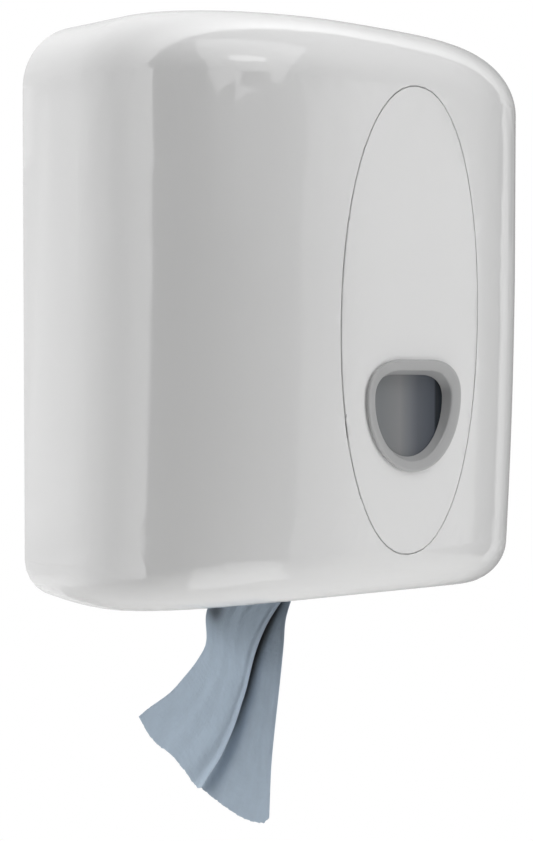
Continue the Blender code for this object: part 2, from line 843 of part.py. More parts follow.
def make_hinge_pins(steel):
    reach = EAR_WIDTH / 2 + CLEARANCE + LUG_WIDTH
    for name, side in (("hinge_pin_left", -1), ("hinge_pin_right", 1)):
        inner = side * (HINGE_SPREAD - reach - CLEARANCE)
        head_end = inner - side * PIN_HEAD_LENGTH
        outer = side * (HINGE_SPREAD + reach + PIN_CHAMFER)
        profile = [
            (0, head_end),
            (PIN_HEAD_RADIUS, head_end),
            (PIN_HEAD_RADIUS, inner),
            (PIN_RADIUS, inner),
            (PIN_RADIUS, outer - side * PIN_CHAMFER),
            (PIN_RADIUS - PIN_CHAMFER, outer),
            (0, outer),
        ]
        turned(name, profile, (0, HINGE_Y, HINGE_Z), "X", HINGE_SIDES, steel)


def make_cover_shell(material):
    shell = cover_solid("cover_shell", 0)
    shell.data.materials.append(material)
    cavity = cover_solid("cover_cavity", COVER_WALL, OVERRUN)
    slot_half = HINGE_SPREAD + EAR_WIDTH / 2 + CLEARANCE + LUG_WIDTH + SLOT_MARGIN
    slot = block(
        "hinge_slot",
        (-slot_half, HINGE_Y - SLOT_SETBACK, BOTTOM_Z - OVERRUN),
        (slot_half, OVERRUN, BOTTOM_Z + COVER_WALL + OVERRUN),
    )
    heel = prism(
        "cover_heel",
        arc((HINGE_Y, HINGE_Z), HEEL_RADIUS, -math.pi / 2, 0, HINGE_SIDES)
        + [(OVERRUN, HINGE_Z), (OVERRUN, HINGE_Z - HEEL_RADIUS)],
        "X",
        -COVER_WIDTH,
        COVER_WIDTH,
    )
    cut(shell, cavity, slot, heel)
    wall_middle_z = drafted(0, HINGE_Y - LUG_REACH / 2, BOTTOM_Z + COVER_WALL / 2)[2]
    nose_y = HINGE_Y - LUG_REACH
    tail = [(nose_y, HINGE_Z + LUG_NOSE), (nose_y, wall_middle_z), (HINGE_Y, wall_middle_z)]
    outline = arc((HINGE_Y, HINGE_Z), LUG_RADIUS, -math.pi / 2, math.pi / 2, HINGE_SIDES)
    for low, high in lug_spans():
        join(shell, prism("cover_lug", outline + tail, "X", low, high))
    pad_z = lock_pad_z()
    pad = prism(
        "lock_pad",
        circle((0, LOCK_Y), LOCK_PAD_RADIUS, LOCK_SIDES * 2),
        "Z",
        lock_pad_low_z(),
        pad_z,
    )
    join(shell, pad)
    lock_hole = prism(
        "lock_hole",
        circle((0, LOCK_Y), HOUSING_RADIUS + CLEARANCE, LOCK_SIDES),
        "Z",
        lock_pad_low_z() - OVERRUN,
        pad_z + OVERRUN,
    )
    outlet = prism(
        "paper_outlet",
        circle((0, ROLL_Y), OUTLET_RADIUS, OUTLET_SIDES),
        "Z",
        BOTTOM_Z - OVERRUN,
        BOTTOM_Z + COVER_WALL + BOTTOM_DRAFT + OVERRUN,
    )
    cut(shell, *hinge_bores("lug_bore"), lock_hole, outlet)
    cut(shell, inlay_recess(), window_hole("shell_window_hole"))
    return shell


def front_span():
    """How far cutters in the front run, from ahead of the cover to behind its wall."""
    return -COVER_DEPTH - BEZEL_PROUD - OVERRUN, -COVER_DEPTH + CORNER_RADIUS / 2


def inlay_recess():
    front_y, rear_y = front_span()
    recess = prism("inlay_recess", inlay_outline(INLAY_SEAM), "Y", front_y, rear_y)
    cut(recess, cover_solid("recess_floor", INLAY_THICKNESS + CLEARANCE, OVERRUN))
    return recess


def bezel_tube_offset():
    return BEZEL_BAND - BEZEL_TUBE_WALL


def window_hole(name):
    front_y, rear_y = front_span()
    offset = bezel_tube_offset() - CLEARANCE
    return window_prism(name, offset, front_y, rear_y)


def make_front_inlay(material):
    front_y, rear_y = front_span()
    inlay = prism("front_inlay", inlay_outline(0), "Y", front_y, rear_y, material)
    keep(inlay, cover_solid("inlay_face", 0))
    cut(inlay, cover_solid("inlay_back", INLAY_THICKNESS, OVERRUN))
    cut(inlay, window_hole("inlay_window_hole"))
    return inlay


def make_window(bezel_material, lens_material, retainer_material):
    front_y, rear_y = front_span()
    tube_end_y = -COVER_DEPTH + BEZEL_DEPTH
    bezel = window_prism("window_bezel", 0, front_y, rear_y, bezel_material)
    cut(bezel, cover_solid("bezel_seat", -CLEARANCE))
    tube_front_y = front_y + OVERRUN / 2
    tube = window_prism("bezel_tube", bezel_tube_offset(), tube_front_y, tube_end_y)
    join(bezel, tube)
    keep(bezel, cover_solid("bezel_face", -BEZEL_PROUD))
    cut(bezel, window_prism("bezel_opening", BEZEL_BAND, front_y - OVERRUN, rear_y))

    lens_front_y = tube_end_y + CLEARANCE
    lens_rear_y = lens_front_y + LENS_THICKNESS
    lens = window_prism(
        "window_lens", bezel_tube_offset(), lens_front_y, lens_rear_y, lens_material
    )

    lip_y = lens_rear_y + CLEARANCE
    end_y = lip_y + RETAINER_LIP
    pocket = bezel_tube_offset() - CLEARANCE
    retainer = window_prism(
        "window_retainer", pocket - RETAINER_WALL, front_y, end_y, retainer_material
    )
    keep(retainer, cover_solid("retainer_seat", COVER_WALL + CLEARANCE))
    cut(retainer, window_prism("retainer_pocket", pocket, front_y - OVERRUN, lip_y))
    lip_offset = BEZEL_BAND + RETAINER_OVERLAP
    cut(retainer, window_prism("retainer_opening", lip_offset, front_y, end_y + OVERRUN))
    return bezel, lens, retainer


def make_nozzle(plastic, rubber):
    neck_top_z = SHELF_TOP_Z + NOZZLE_NECK_RISE
    outlet = NOZZLE_OUTLET_RADIUS
    profile = [
        (NOZZLE_NECK_RADIUS, neck_top_z),
        (NOZZLE_NECK_RADIUS, NOZZLE_FLANGE_TOP_Z),
        (NOZZLE_FLANGE_RADIUS, NOZZLE_FLANGE_TOP_Z),
        (NOZZLE_FLANGE_RADIUS, NOZZLE_FLANGE_Z),
        (NOZZLE_NECK_RADIUS, NOZZLE_FLANGE_Z),
        (outlet, NOZZLE_CONE_Z),
        (outlet, NOZZLE_END_Z),
        (outlet - NOZZLE_WALL, NOZZLE_END_Z),
        (outlet - NOZZLE_WALL, NOZZLE_CONE_Z),
        (NOZZLE_NECK_RADIUS - NOZZLE_WALL, NOZZLE_FLANGE_Z),
        (NOZZLE_NECK_RADIUS - NOZZLE_WALL, neck_top_z),
    ]
    body = turned("nozzle_body", profile, (0, ROLL_Y, 0), "Z", NOZZLE_SIDES, plastic)
    lug_z = SHELF_TOP_Z + CLEARANCE
    for middle in (0, math.pi):
        outline = sector(
            NOZZLE_NECK_RADIUS - NOZZLE_WALL / 2,
            BAYONET_RADIUS,
            middle,
            BAYONET_HALF_ANGLE,
            BAYONET_STEPS,
        )
        join(body, prism("bayonet_lug", outline, "Z", lug_z, lug_z + BAYONET_HEIGHT))
    for middle in (math.pi / 2, -math.pi / 2):
        outline = sector(
            NOZZLE_FLANGE_RADIUS - NOZZLE_WALL,
            THUMB_TAB_RADIUS,
            middle,
            THUMB_TAB_HALF_ANGLE,
            BAYONET_STEPS,
        )
        tab_low = NOZZLE_FLANGE_Z + CLEARANCE
        tab_high = NOZZLE_FLANGE_TOP_Z - CLEARANCE
        join(body, prism("thumb_tab", outline, "Z", tab_low, tab_high))

    spout_inner = outlet + CLEARANCE
    star = prism(
        "nozzle_star",
        circle((0, ROLL_Y), outlet, NOZZLE_SIDES),
        "Z",
        STAR_BOTTOM_Z,
        STAR_TOP_Z,
        rubber,
    )
    slits_low = STAR_BOTTOM_Z - OVERRUN
    cut(star, prism("star_slits", star_outline(), "Z", slits_low, STAR_TOP_Z + OVERRUN))

    ring_outer = spout_inner + RING_WALL
    ring_profile = [
        (ring_outer, RING_TOP_Z + RING_HEIGHT),
        (ring_outer, RING_BOTTOM_Z),
        (spout_inner - RING_LIP, RING_BOTTOM_Z),
        (spout_inner - RING_LIP, RING_TOP_Z),
        (spout_inner, RING_TOP_Z),
        (spout_inner, RING_TOP_Z + RING_HEIGHT),
    ]
    ring = turned("nozzle_ring", ring_profile, (0, ROLL_Y, 0), "Z", NOZZLE_SIDES, plastic)
    return body, star, ring


def star_outline():
    """The star's hole: a small round centre with slits between the petals."""
    points = []
    half_slit = STAR_SLIT_WIDTH / 2
    inner_half = math.asin(half_slit / STAR_HOLE_RADIUS)
    outer_half = math.asin(half_slit / STAR_SLIT_RADIUS)
    pitch = math.tau / STAR_PETALS
    for petal in range(STAR_PETALS):
        middle = petal * pitch
        for side in (-1, 1):
            a = middle + side * outer_half
            points.append(
                (STAR_SLIT_RADIUS * math.cos(a), ROLL_Y + STAR_SLIT_RADIUS * math.sin(a))
            )
        points += arc(
            (0, ROLL_Y),
            STAR_HOLE_RADIUS,
            middle + inner_half,
            middle + pitch - inner_half,
            STAR_PETAL_STEPS,
        )
    return points


def make_paper_roll(paper):
    low = SHELF_TOP_Z + CLEARANCE
    high = low + ROLL_HEIGHT
    profile = [
        (ROLL_BORE_RADIUS, low),
        (ROLL_RADIUS - ROLL_EDGE, low),
        (ROLL_RADIUS, low + ROLL_EDGE),
        (ROLL_RADIUS, high - ROLL_EDGE),
        (ROLL_RADIUS - ROLL_EDGE, high),
        (ROLL_BORE_RADIUS, high),
    ]
    return turned("paper_roll", profile, (0, ROLL_Y, 0), "Z", ROLL_SIDES, paper)


def make_paper_feed(paper):
    """A gathered, twisted strand from the roll's inner wall down through the star."""
    start_z = SHELF_TOP_Z + FEED_START_RISE
    end_z = RING_BOTTOM_Z - CLEARANCE
    funnel_z = NOZZLE_CONE_Z
    neck = STAR_HOLE_RADIUS - CLEARANCE
    start_x = ROLL_BORE_RADIUS - CLEARANCE - FEED_RADIUS * (1 + FEED_LOBE_SHARE)
    sides = FEED_LOBES * FEED_LOBE_SIDES
    rings = []
    for i in range(FEED_RINGS):
        z = start_z + (end_z - start_z) * i / (FEED_RINGS - 1)
        free = min(1, max(0, (z - funnel_z) / (SHELF_TOP_Z - funnel_z)))
        high = max(0, (z - SHELF_TOP_Z) / FEED_START_RISE)
        centre_x = start_x * math.sin(high * math.pi / 2) ** 2
        radius = neck + (FEED_RADIUS - neck) * free
        ring = []
        for k in range(sides):
            a = math.tau * k / sides
            lobe = 1 + FEED_LOBE_SHARE * free * math.cos(FEED_LOBES * a)
            turn = a + FEED_TWIST * i / (FEED_RINGS - 1)
            ring.append(
                (
                    centre_x + radius * lobe * math.cos(turn),
                    ROLL_Y + radius * lobe * math.sin(turn),
                    z,
                )
            )
        rings.append(ring)
    return loft("paper_feed", rings, paper)


def smooth_step(value):
    value = min(1, max(0, value))
    return value * value * (3 - 2 * value)


def looked_up(shares, at):
    """The value of a table of (place, share) pairs between its entries."""
    for (low, first), (high, second) in zip(shares, shares[1:]):
        if at <= high:
            break
    return first + (second - first) * (at - low) / (high - low)


def hump(offset):
    return math.exp(-((offset / TAIL_FOLD_SPREAD_SHARE) ** 2))


def tail_place(across, down):
    """The sheet's middle surface: across runs from its left edge to its right edge.

    The left edge swings out to the torn corner, the right edge hangs almost straight,
    and a deep fold lies between the wide left panel and the narrow right one.
    """
    left = TAIL_CORNER_REACH * looked_up(TAIL_LEFT_SHARES, down)
    right = TAIL_RIGHT_REACH * looked_up(TAIL_RIGHT_SHARES, down)
    reach = left + (right - left) * across
    tear = looked_up(TAIL_TEAR_SHARES, across)
    drop = down * (TAIL_CORNER_DROP + (TAIL_LENGTH - TAIL_CORNER_DROP) * tear)
    fold = TAIL_FOLD_START_SHARE - TAIL_FOLD_DRIFT_SHARE * down
    ridge = TAIL_RIDGE_SHARE * hump(across - fold - 2 * TAIL_FOLD_SPREAD_SHARE)
    curl = TAIL_CURL_SHARE * hump(across - 1)
    opened = smooth_step(down / TAIL_OPEN_SHARE)
    depth = TAIL_FOLD_DEPTH * (ridge - hump(across - fold) - curl)
    depth *= opened * (1 - TAIL_FLATTEN_SHARE * down)
    depth += TAIL_BELLY * opened * math.sin(across * math.pi)
    return reach, depth, drop


def make_paper_tail(paper):
    """A folded sheet as one thin closed solid, gathered at the nozzle."""
    swing = Vector((-math.cos(TAIL_SWING), math.sin(TAIL_SWING), 0))
    face = Vector((-math.sin(TAIL_SWING), -math.cos(TAIL_SWING), 0))
    top = Vector((0, ROLL_Y, RING_BOTTOM_Z - TAIL_START_DROP))
    grid = []
    for j in range(TAIL_DOWN + 1):
        row = []
        for i in range(TAIL_ACROSS + 1):
            reach, depth, drop = tail_place(i / TAIL_ACROSS, j / TAIL_DOWN)
            row.append(top + swing * reach + face * depth - Vector((0, 0, drop)))
        grid.append(row)
    return sheet_solid("paper_tail", grid, TAIL_THICKNESS, paper)


def sheet_solid(name, grid, thickness, material):
    """Thickens a grid of points into one closed skin."""
    down = len(grid)
    across = len(grid[0])
    front = []
    rear = []
    for j in range(down):
        for i in range(across):
            along = grid[j][min(i + 1, across - 1)] - grid[j][max(i - 1, 0)]
            below = grid[min(j + 1, down - 1)][i] - grid[max(j - 1, 0)][i]
            normal = along.cross(below).normalized() * (thickness / 2)
            front.append(grid[j][i] + normal)
            rear.append(grid[j][i] - normal)
    shift = down * across
    faces = []
    for j in range(down - 1):
        for i in range(across - 1):
            a = j * across + i
            b = a + across
            faces.append((a, a + 1, b + 1, b))
            faces.append((shift + a, shift + b, shift + b + 1, shift + a + 1))
    border = list(range(across))
    border += [j * across + across - 1 for j in range(1, down)]
    border += [(down - 1) * across + i for i in range(across - 2, -1, -1)]
    border += [j * across for j in range(down - 2, 0, -1)]
    for a, b in zip(border, border[1:] + border[:1]):
        faces.append((a, shift + a, shift + b, b))
    return mesh_object(name, front + rear, faces, material)


def make_lock(plastic, steel):
    pad_z = lock_pad_z()
    flange_z = pad_z + CLEARANCE
    face_z = flange_z + HOUSING_FLANGE_THICKNESS
    end_z = flange_z - HOUSING_LENGTH
    bore = BARREL_RADIUS + CLEARANCE
    axis = (0, LOCK_Y, 0)
    housing = turned(
        "lock_housing",
        [
            (bore, face_z),
            (HOUSING_FLANGE_RADIUS - HOUSING_CHAMFER, face_z),
            (HOUSING_FLANGE_RADIUS, face_z - HOUSING_CHAMFER),
            (HOUSING_FLANGE_RADIUS, flange_z),
            (HOUSING_RADIUS, flange_z),
            (HOUSING_RADIUS, end_z),
            (bore, end_z),
        ],
        axis, "Z", LOCK_SIDES, plastic,
    )
    nut_top_z = lock_pad_low_z() - CLEARANCE
    nut = prism(
        "lock_nut",
        circle((0, LOCK_Y), NUT_RADIUS, NUT_SIDES),
        "Z",
        nut_top_z - NUT_THICKNESS,
        nut_top_z,
        plastic,
    )
    nut_bore = prism(
        "nut_bore",
        circle((0, LOCK_Y), HOUSING_RADIUS + CLEARANCE, LOCK_SIDES),
        "Z",
        nut_top_z - NUT_THICKNESS - OVERRUN,
        nut_top_z + OVERRUN,
    )
    cut(nut, nut_bore)

    barrel_end_z = end_z - BARREL_END
    screw_bore = CAM_SCREW_RADIUS + CLEARANCE
    barrel = turned(
        "lock_barrel",
        [
            (0, face_z),
            (BARREL_RADIUS, face_z),
            (BARREL_RADIUS, barrel_end_z),
            (screw_bore, barrel_end_z),
            (screw_bore, barrel_end_z + BARREL_BORE_DEPTH),
            (0, barrel_end_z + BARREL_BORE_DEPTH),
        ],
        axis, "Z", LOCK_SIDES, steel,
    )
    keyway = block(
        "keyway",
        (-KEYWAY_WIDTH / 2, LOCK_Y - KEYWAY_LENGTH / 2, face_z - KEYWAY_DEPTH),
        (KEYWAY_WIDTH / 2, LOCK_Y + KEYWAY_LENGTH / 2, face_z + OVERRUN),
    )
    cut(barrel, keyway)

    cam_top = cam_top_z()
    cam_low = cam_top - CAM_THICKNESS
    far_y = LOCK_Y + CAM_REACH - CAM_HALF_WIDTH
    outline = arc((0, far_y), CAM_HALF_WIDTH, 0, math.pi, CAM_END_STEPS)
    outline += arc((0, LOCK_Y), CAM_HALF_WIDTH, math.pi, math.tau, CAM_END_STEPS)
    cam = prism("lock_cam", outline, "Z", cam_low, cam_top, steel)
    cam_hole = prism(
        "cam_hole",
        circle((0, LOCK_Y), screw_bore, SCREW_SIDES),
        "Z",
        cam_low - OVERRUN,
        cam_top + OVERRUN,
    )
    cut(cam, cam_hole)

    head_z = cam_low - CLEARANCE
    cam_screw = turned(
        "lock_cam_screw",
        [
            (0, head_z - CAM_SCREW_HEAD_HEIGHT),
            (CAM_SCREW_HEAD_RADIUS, head_z - CAM_SCREW_HEAD_HEIGHT),
            (CAM_SCREW_HEAD_RADIUS, head_z),
            (CAM_SCREW_RADIUS, head_z),
            (CAM_SCREW_RADIUS, head_z + CAM_SCREW_LENGTH),
            (0, head_z + CAM_SCREW_LENGTH),
        ],
        axis, "Z", SCREW_SIDES, steel,
    )
    return (housing, nut), (barrel, cam, cam_screw)


def main():
    clear_scene()
    white = finish_of("white_gloss_plastic", (0.86, 0.87, 0.88), 0.18)
    grey = finish_of("grey_gloss_plastic", (0.46, 0.47, 0.48), 0.25)
    smoke = finish_of("smoked_lens", (0.10, 0.12, 0.15), 0.06)
    inner = finish_of("white_matte_plastic", (0.78, 0.79, 0.80), 0.45)
    dark = finish_of("soft_rubber", (0.08, 0.08, 0.09), 0.6)
    steel = finish_of("zinc_steel", (0.62, 0.63, 0.65), 0.35, 1.0)
    paper = finish_of("blue_paper", (0.36, 0.43, 0.52), 0.9)

    make_back_plate(inner)
    make_roll_shelf(inner)
    make_shelf_screws(steel)
    make_striker(SEAT_Y, steel)
    make_hinge_pins(steel)
    make_paper_roll(paper)
    make_paper_feed(paper)
    make_paper_tail(paper)

    shell = make_cover_shell(white)
    inlay = make_front_inlay(white)
    window = make_window(grey, smoke, inner)
    cover_lock, turning_lock = make_lock(grey, steel)
    nozzle = make_nozzle(inner, dark)

    carry(joint_axis("nozzle_axis", (0, ROLL_Y, NOZZLE_FLANGE_Z)), *nozzle)
    hinge = joint_axis("cover_hinge_axis", (0, HINGE_Y, HINGE_Z))
    carry(hinge, shell, inlay, *window, *cover_lock)
    carry(joint_axis("lock_axis", (0, LOCK_Y, lock_pad_z())), *turning_lock)


main()
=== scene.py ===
# %% [markdown]
# # A centrefeed roll dispenser, dressed for its portrait
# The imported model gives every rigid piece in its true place. This lesson gives those pieces
# their finish, models the ones whose detail goes beyond the solids, and sets up the studio.

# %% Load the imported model
import math
import random

import bmesh
import bpy
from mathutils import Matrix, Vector


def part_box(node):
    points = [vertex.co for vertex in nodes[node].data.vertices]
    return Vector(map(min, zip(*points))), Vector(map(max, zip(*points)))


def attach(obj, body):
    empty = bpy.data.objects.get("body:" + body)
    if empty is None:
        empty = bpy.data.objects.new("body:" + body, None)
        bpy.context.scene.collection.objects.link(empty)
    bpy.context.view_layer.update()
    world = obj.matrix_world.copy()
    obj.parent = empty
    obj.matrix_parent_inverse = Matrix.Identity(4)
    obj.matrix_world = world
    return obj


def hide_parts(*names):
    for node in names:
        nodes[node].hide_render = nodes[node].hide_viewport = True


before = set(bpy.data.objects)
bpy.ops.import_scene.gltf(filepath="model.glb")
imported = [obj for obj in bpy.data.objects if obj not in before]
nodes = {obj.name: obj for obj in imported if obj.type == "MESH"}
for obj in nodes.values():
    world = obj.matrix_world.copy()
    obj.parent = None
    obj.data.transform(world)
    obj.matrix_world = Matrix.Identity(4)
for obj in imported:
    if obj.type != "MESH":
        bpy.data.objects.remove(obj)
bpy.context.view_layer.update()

# %% [markdown]
# ## Sizes
# The form of the cover is a box with a bowed front, large round corners, drafted walls and
# a front that leans back towards its foot. The same few numbers that shaped the solids are
# repeated here, so that a new piece lies on the cover to a tenth of a millimetre. Lengths
# are in metres throughout.

# %% Sizes of the cover and the window
COVER_WIDTH = 0.272
COVER_HEIGHT = 0.340
COVER_DEPTH = 0.200
FRONT_RADIUS = 0.290
CORNER_RADIUS = 0.120
TOP_EDGE_RADIUS = 0.042
BOTTOM_EDGE_RADIUS = 0.024
SIDE_DRAFT = 0.007
TOP_DRAFT = 0.0315
BOTTOM_DRAFT = 0.0235
BOTTOM_CROWN = 0.0065
FRONT_LEAN = 0.0085
LEAN_TOP_Z = 0.041
LEAN_HEIGHT = 0.211
WINDOW_HALF_WIDTH = 0.0297
WINDOW_HEIGHT = 0.0572
WINDOW_TOP_Z = -0.0314

half_width, half_height = COVER_WIDTH / 2, COVER_HEIGHT / 2
corner_x = half_width - CORNER_RADIUS
bow_swing = math.asin(corner_x / (FRONT_RADIUS - CORNER_RADIUS))
print("the bowed front swings", round(math.degrees(bow_swing), 1), "degrees to each side")


# %% The cover's form as a formula
def drafts(y, z):
    """How much the cover has narrowed and shortened at this depth."""
    share = -y / COVER_DEPTH
    shorter = TOP_DRAFT * share
    if z < 0:
        shorter = BOTTOM_DRAFT * share - BOTTOM_CROWN * (1 - (2 * share - 1) ** 2)
    return 1 - SIDE_DRAFT * share / half_width, 1 - shorter / half_height


def plan_depth(x, y, z):
    """How deep a point of the undrafted form lies inside its outline seen from above."""
    lean = FRONT_LEAN * (max(0.0, LEAN_TOP_Z - z) / LEAN_HEIGHT) ** 2
    bow_y = FRONT_RADIUS - COVER_DEPTH + lean
    corner_y = bow_y - (FRONT_RADIUS - CORNER_RADIUS) * math.cos(bow_swing)
    side = -1 if x < 0 else 1
    if y > corner_y:
        return half_width - abs(x), Vector((side, 0, 0))
    if math.atan2(abs(x), bow_y - y) < bow_swing:
        arm = Vector((x, y - bow_y, 0))
        return FRONT_RADIUS - arm.length, arm.normalized()
    arm = Vector((x - side * corner_x, y - corner_y, 0))
    return CORNER_RADIUS - arm.length, arm.normalized()


def skin_depth(x, y, z):
    """How deep a point of the undrafted form lies under its skin, and the way out."""
    depth, outward = plan_depth(x, y, z)
    for sign, radius in ((1, TOP_EDGE_RADIUS), (-1, BOTTOM_EDGE_RADIUS)):
        over = sign * z - half_height + radius
        if over > 0 and depth < radius:
            arm = outward * (radius - depth) + Vector((0, 0, sign * over))
            return radius - arm.length, arm.normalized()
        if over > 0:
            return half_height - sign * z, Vector((0, 0, sign))
    return depth, outward


# %% Where the front stands
HOMING_STEPS = 6


def front_y(x, z, proud=0.0):
    """Where the cover's front stands at this x and z, or a surface proud of it."""
    y = -COVER_DEPTH
    for _ in range(HOMING_STEPS):
        narrow, shorten = drafts(y, z)
        depth, outward = plan_depth(x / narrow, y, z / shorten)
        y += (depth + proud) / outward.y
    return y


window_middle_z = WINDOW_TOP_Z - WINDOW_HEIGHT / 2
print("front at the window's middle", round(front_y(0, window_middle_z) * 1000, 2), "mm")

# %% [markdown]
# ## Camera
# The picture was taken from the front left, just above the middle of the unit, with
# a longish lens. The lens is given for Blender's 36 mm sensor, which here spans the
# picture's height.

# %% Place the camera
CAMERA_AZIMUTH = math.radians(-30.83)
CAMERA_ELEVATION = math.radians(1.4)
CAMERA_DISTANCE = 0.7095
CAMERA_TARGET = Vector((-0.0293, -0.100, -0.0640))
CAMERA_LENS = 54.06
SENSOR_WIDTH = 36
NEAREST_SEEN, FARTHEST_SEEN = 0.01, 50

back = Vector((
    math.sin(CAMERA_AZIMUTH) * math.cos(CAMERA_ELEVATION),
    -math.cos(CAMERA_AZIMUTH) * math.cos(CAMERA_ELEVATION),
    math.sin(CAMERA_ELEVATION),
))
bpy.ops.object.camera_add(
    location=CAMERA_TARGET + back * CAMERA_DISTANCE,
    rotation=(-back).to_track_quat("-Z", "Y").to_euler(),
)
camera = bpy.context.object
camera.name = "photo_camera"
camera.data.lens = CAMERA_LENS
camera.data.sensor_width = SENSOR_WIDTH
camera.data.clip_start = NEAREST_SEEN
camera.data.clip_end = FARTHEST_SEEN
bpy.context.scene.camera = camera
print("camera at", [round(v, 3) for v in camera.location])

# %% [markdown]
# ## Soft boxes
# Catalogue pictures like this one are taken in a white room, in front of a bright white
# wall, and lit by large soft boxes. A glossy white body shows the room twice: its matte part
# gathers all the light, and its clear skin mirrors the shapes. One set of boxes could do
# both, as in a real studio, but then every change of a reflection would change the light
# too. So two kinds are set up here. The plain boxes give light but are hidden from the
# mirror. The mirrored ones are seen in the skin alone, and draw the upright panel on the
# front and the soft patches on the upper and lower rounding.


# %% Hang the soft boxes
def soft_box(name, place, aim, width, height, power, mirrored=False):
    """A rectangular area light that looks at a point, and is either matte light or mirrored."""
    place, aim = Vector(place), Vector(aim)
    bpy.ops.object.light_add(
        type="AREA", location=place, rotation=(aim - place).to_track_quat("-Z", "Y").to_euler()
    )
    box = bpy.context.object
    box.name = name
    box.data.shape = "RECTANGLE"
    box.data.size = width
    box.data.size_y = height
    box.data.energy = power
    box.visible_camera = False
    box.visible_glossy = mirrored
    box.visible_diffuse = not mirrored
    return box


# Each row: name, place, the point it looks at, width, height, power in watts, mirrored
SOFT_BOXES = (
    ("near_left", (-0.34, 0.12, 0.0), (-0.13, 0.0, 0), 0.12, 0.6, 0.38),
    ("front_right", (0.6, -1.7, 0.1), (0, -0.1, 0), 0.8, 1.4, 9.0),
    ("right", (1.6, -0.7, 0.1), (0, -0.1, 0), 0.8, 1.4, 2.0),
    ("overhead", (-0.10, -0.20, 1.0), (-0.10, -0.19, 0), 0.9, 1.1, 5.8),
    ("underneath", (-0.20, -0.15, -0.85), (-0.10, -0.15, 0), 0.7, 0.8, 1.8),
    ("high_front", (0.0, -1.2, 1.2), (0, -0.1, 0), 1.2, 0.8, 9.4),
    ("low_front", (0.0, -1.0, -0.8), (0, -0.1, 0), 1.2, 0.6, 3.0),
    ("upper_patch", (-0.84, -0.90, 1.16), (-0.09, -0.15, 0.13), 1.2, 1.7, 9.5, True),
    ("upper_core", (-0.69, -0.75, 0.80), (-0.09, -0.15, 0.13), 0.35, 0.20, 0.6, True),
    ("lower_patch", (-0.45, -0.485, -0.625), (-0.10, -0.17, -0.15), 0.55, 0.75, 2.0, True),
    ("front_panel", (2.0, -1.6, -0.28), (2.0, 0, -0.28), 5.0, 1.6, 17.0, True),
)
for row in SOFT_BOXES:
    soft_box(*row)

# %% [markdown]
# ## White room
# The room is the world around the scene. Its wall stands behind the unit and sends soft
# matte light from there. In the clear skin the wall is mirrored as far as its end, where
# the side of the body turns darker along an upright line, and it grows dimmer towards the
# right. The camera itself sees plain white paper. A modelled room could do this as well,
# but the world needs no walls that hide the view from another side, and a Light Path node
# tells it which kind of ray is asking.


# %% Helpers that wire nodes
def feed(tree, socket, value):
    """Links a socket to another one, or sets it to a plain value."""
    if hasattr(value, "links"):
        tree.links.new(value, socket)
    else:
        socket.default_value = value


def math_node(tree, operation, first, second):
    """One Math node; each operand is a socket or a number."""
    node = tree.nodes.new("ShaderNodeMath")
    node.operation = operation
    feed(tree, node.inputs[0], first)
    feed(tree, node.inputs[1], second)
    return node.outputs[0]


def spread(tree, value, low, high, first, last):
    """A smooth passage from first to last while the value goes from low to high."""
    node = tree.nodes.new("ShaderNodeMapRange")
    node.interpolation_type = "SMOOTHSTEP"
    feed(tree, node.inputs["Value"], value)
    feed(tree, node.inputs["From Min"], low)
    feed(tree, node.inputs["From Max"], high)
    feed(tree, node.inputs["To Min"], first)
    feed(tree, node.inputs["To Max"], last)
    return node.outputs["Result"]


# %% Light of the room
WALL_GLOW = 0.9
WALL_BLUR = 0.09
WALL_MIRRORED = 0.9
WALL_END_MIRRORED = 2.5
WALL_END_AT = 0.10
WALL_END_BLUR = 0.07
WALL_END_REACH = 0.50
RIGHT_WALL_MIRRORED = 0.35
RIGHT_WALL_FROM, RIGHT_WALL_TO = 0.05, 0.80

world = bpy.data.worlds.new("white_room")
world.use_nodes = True
bpy.context.scene.world = world
room = world.node_tree
room.nodes.clear()
facing = room.nodes.new("ShaderNodeTexCoord")
split = room.nodes.new("ShaderNodeSeparateXYZ")
room.links.new(facing.outputs["Generated"], split.inputs["Vector"])
to_right, to_wall = split.outputs["X"], split.outputs["Y"]
matte_light = spread(room, to_wall, 0.0, WALL_BLUR, 0.0, WALL_GLOW)
wall_end = spread(room, to_wall, WALL_END_AT, WALL_END_AT + WALL_END_BLUR, 0.0, 1.0)
along = spread(room, to_wall, WALL_END_AT, WALL_END_REACH, WALL_END_MIRRORED, WALL_MIRRORED)
right_wall = spread(room, to_right, RIGHT_WALL_FROM, RIGHT_WALL_TO, 1.0, RIGHT_WALL_MIRRORED)
mirrored_wall = math_node(room, "MULTIPLY", wall_end, along)
mirrored_light = math_node(room, "MULTIPLY", mirrored_wall, right_wall)
print("matte light", WALL_GLOW, "mirrored", WALL_END_MIRRORED, "falling to", WALL_MIRRORED)

# %% Which ray sees what
PAPER_WHITE = 1.0

ray = room.nodes.new("ShaderNodeLightPath")
strength = room.nodes.new("ShaderNodeMix")
room.links.new(ray.outputs["Is Glossy Ray"], strength.inputs["Factor"])
room.links.new(matte_light, strength.inputs["A"])
room.links.new(mirrored_light, strength.inputs["B"])
glow = room.nodes.new("ShaderNodeBackground")
room.links.new(strength.outputs["Result"], glow.inputs["Strength"])
backdrop = room.nodes.new("ShaderNodeBackground")
for light in (glow, backdrop):
    light.inputs["Color"].default_value = (1, 1, 1, 1)
backdrop.inputs["Strength"].default_value = PAPER_WHITE
choice = room.nodes.new("ShaderNodeMixShader")
output = room.nodes.new("ShaderNodeOutputWorld")
room.links.new(ray.outputs["Is Camera Ray"], choice.inputs["Fac"])
room.links.new(glow.outputs["Background"], choice.inputs[1])
room.links.new(backdrop.outputs["Background"], choice.inputs[2])
room.links.new(choice.outputs["Shader"], output.inputs["Surface"])
bpy.context.scene.view_settings.view_transform = "Standard"
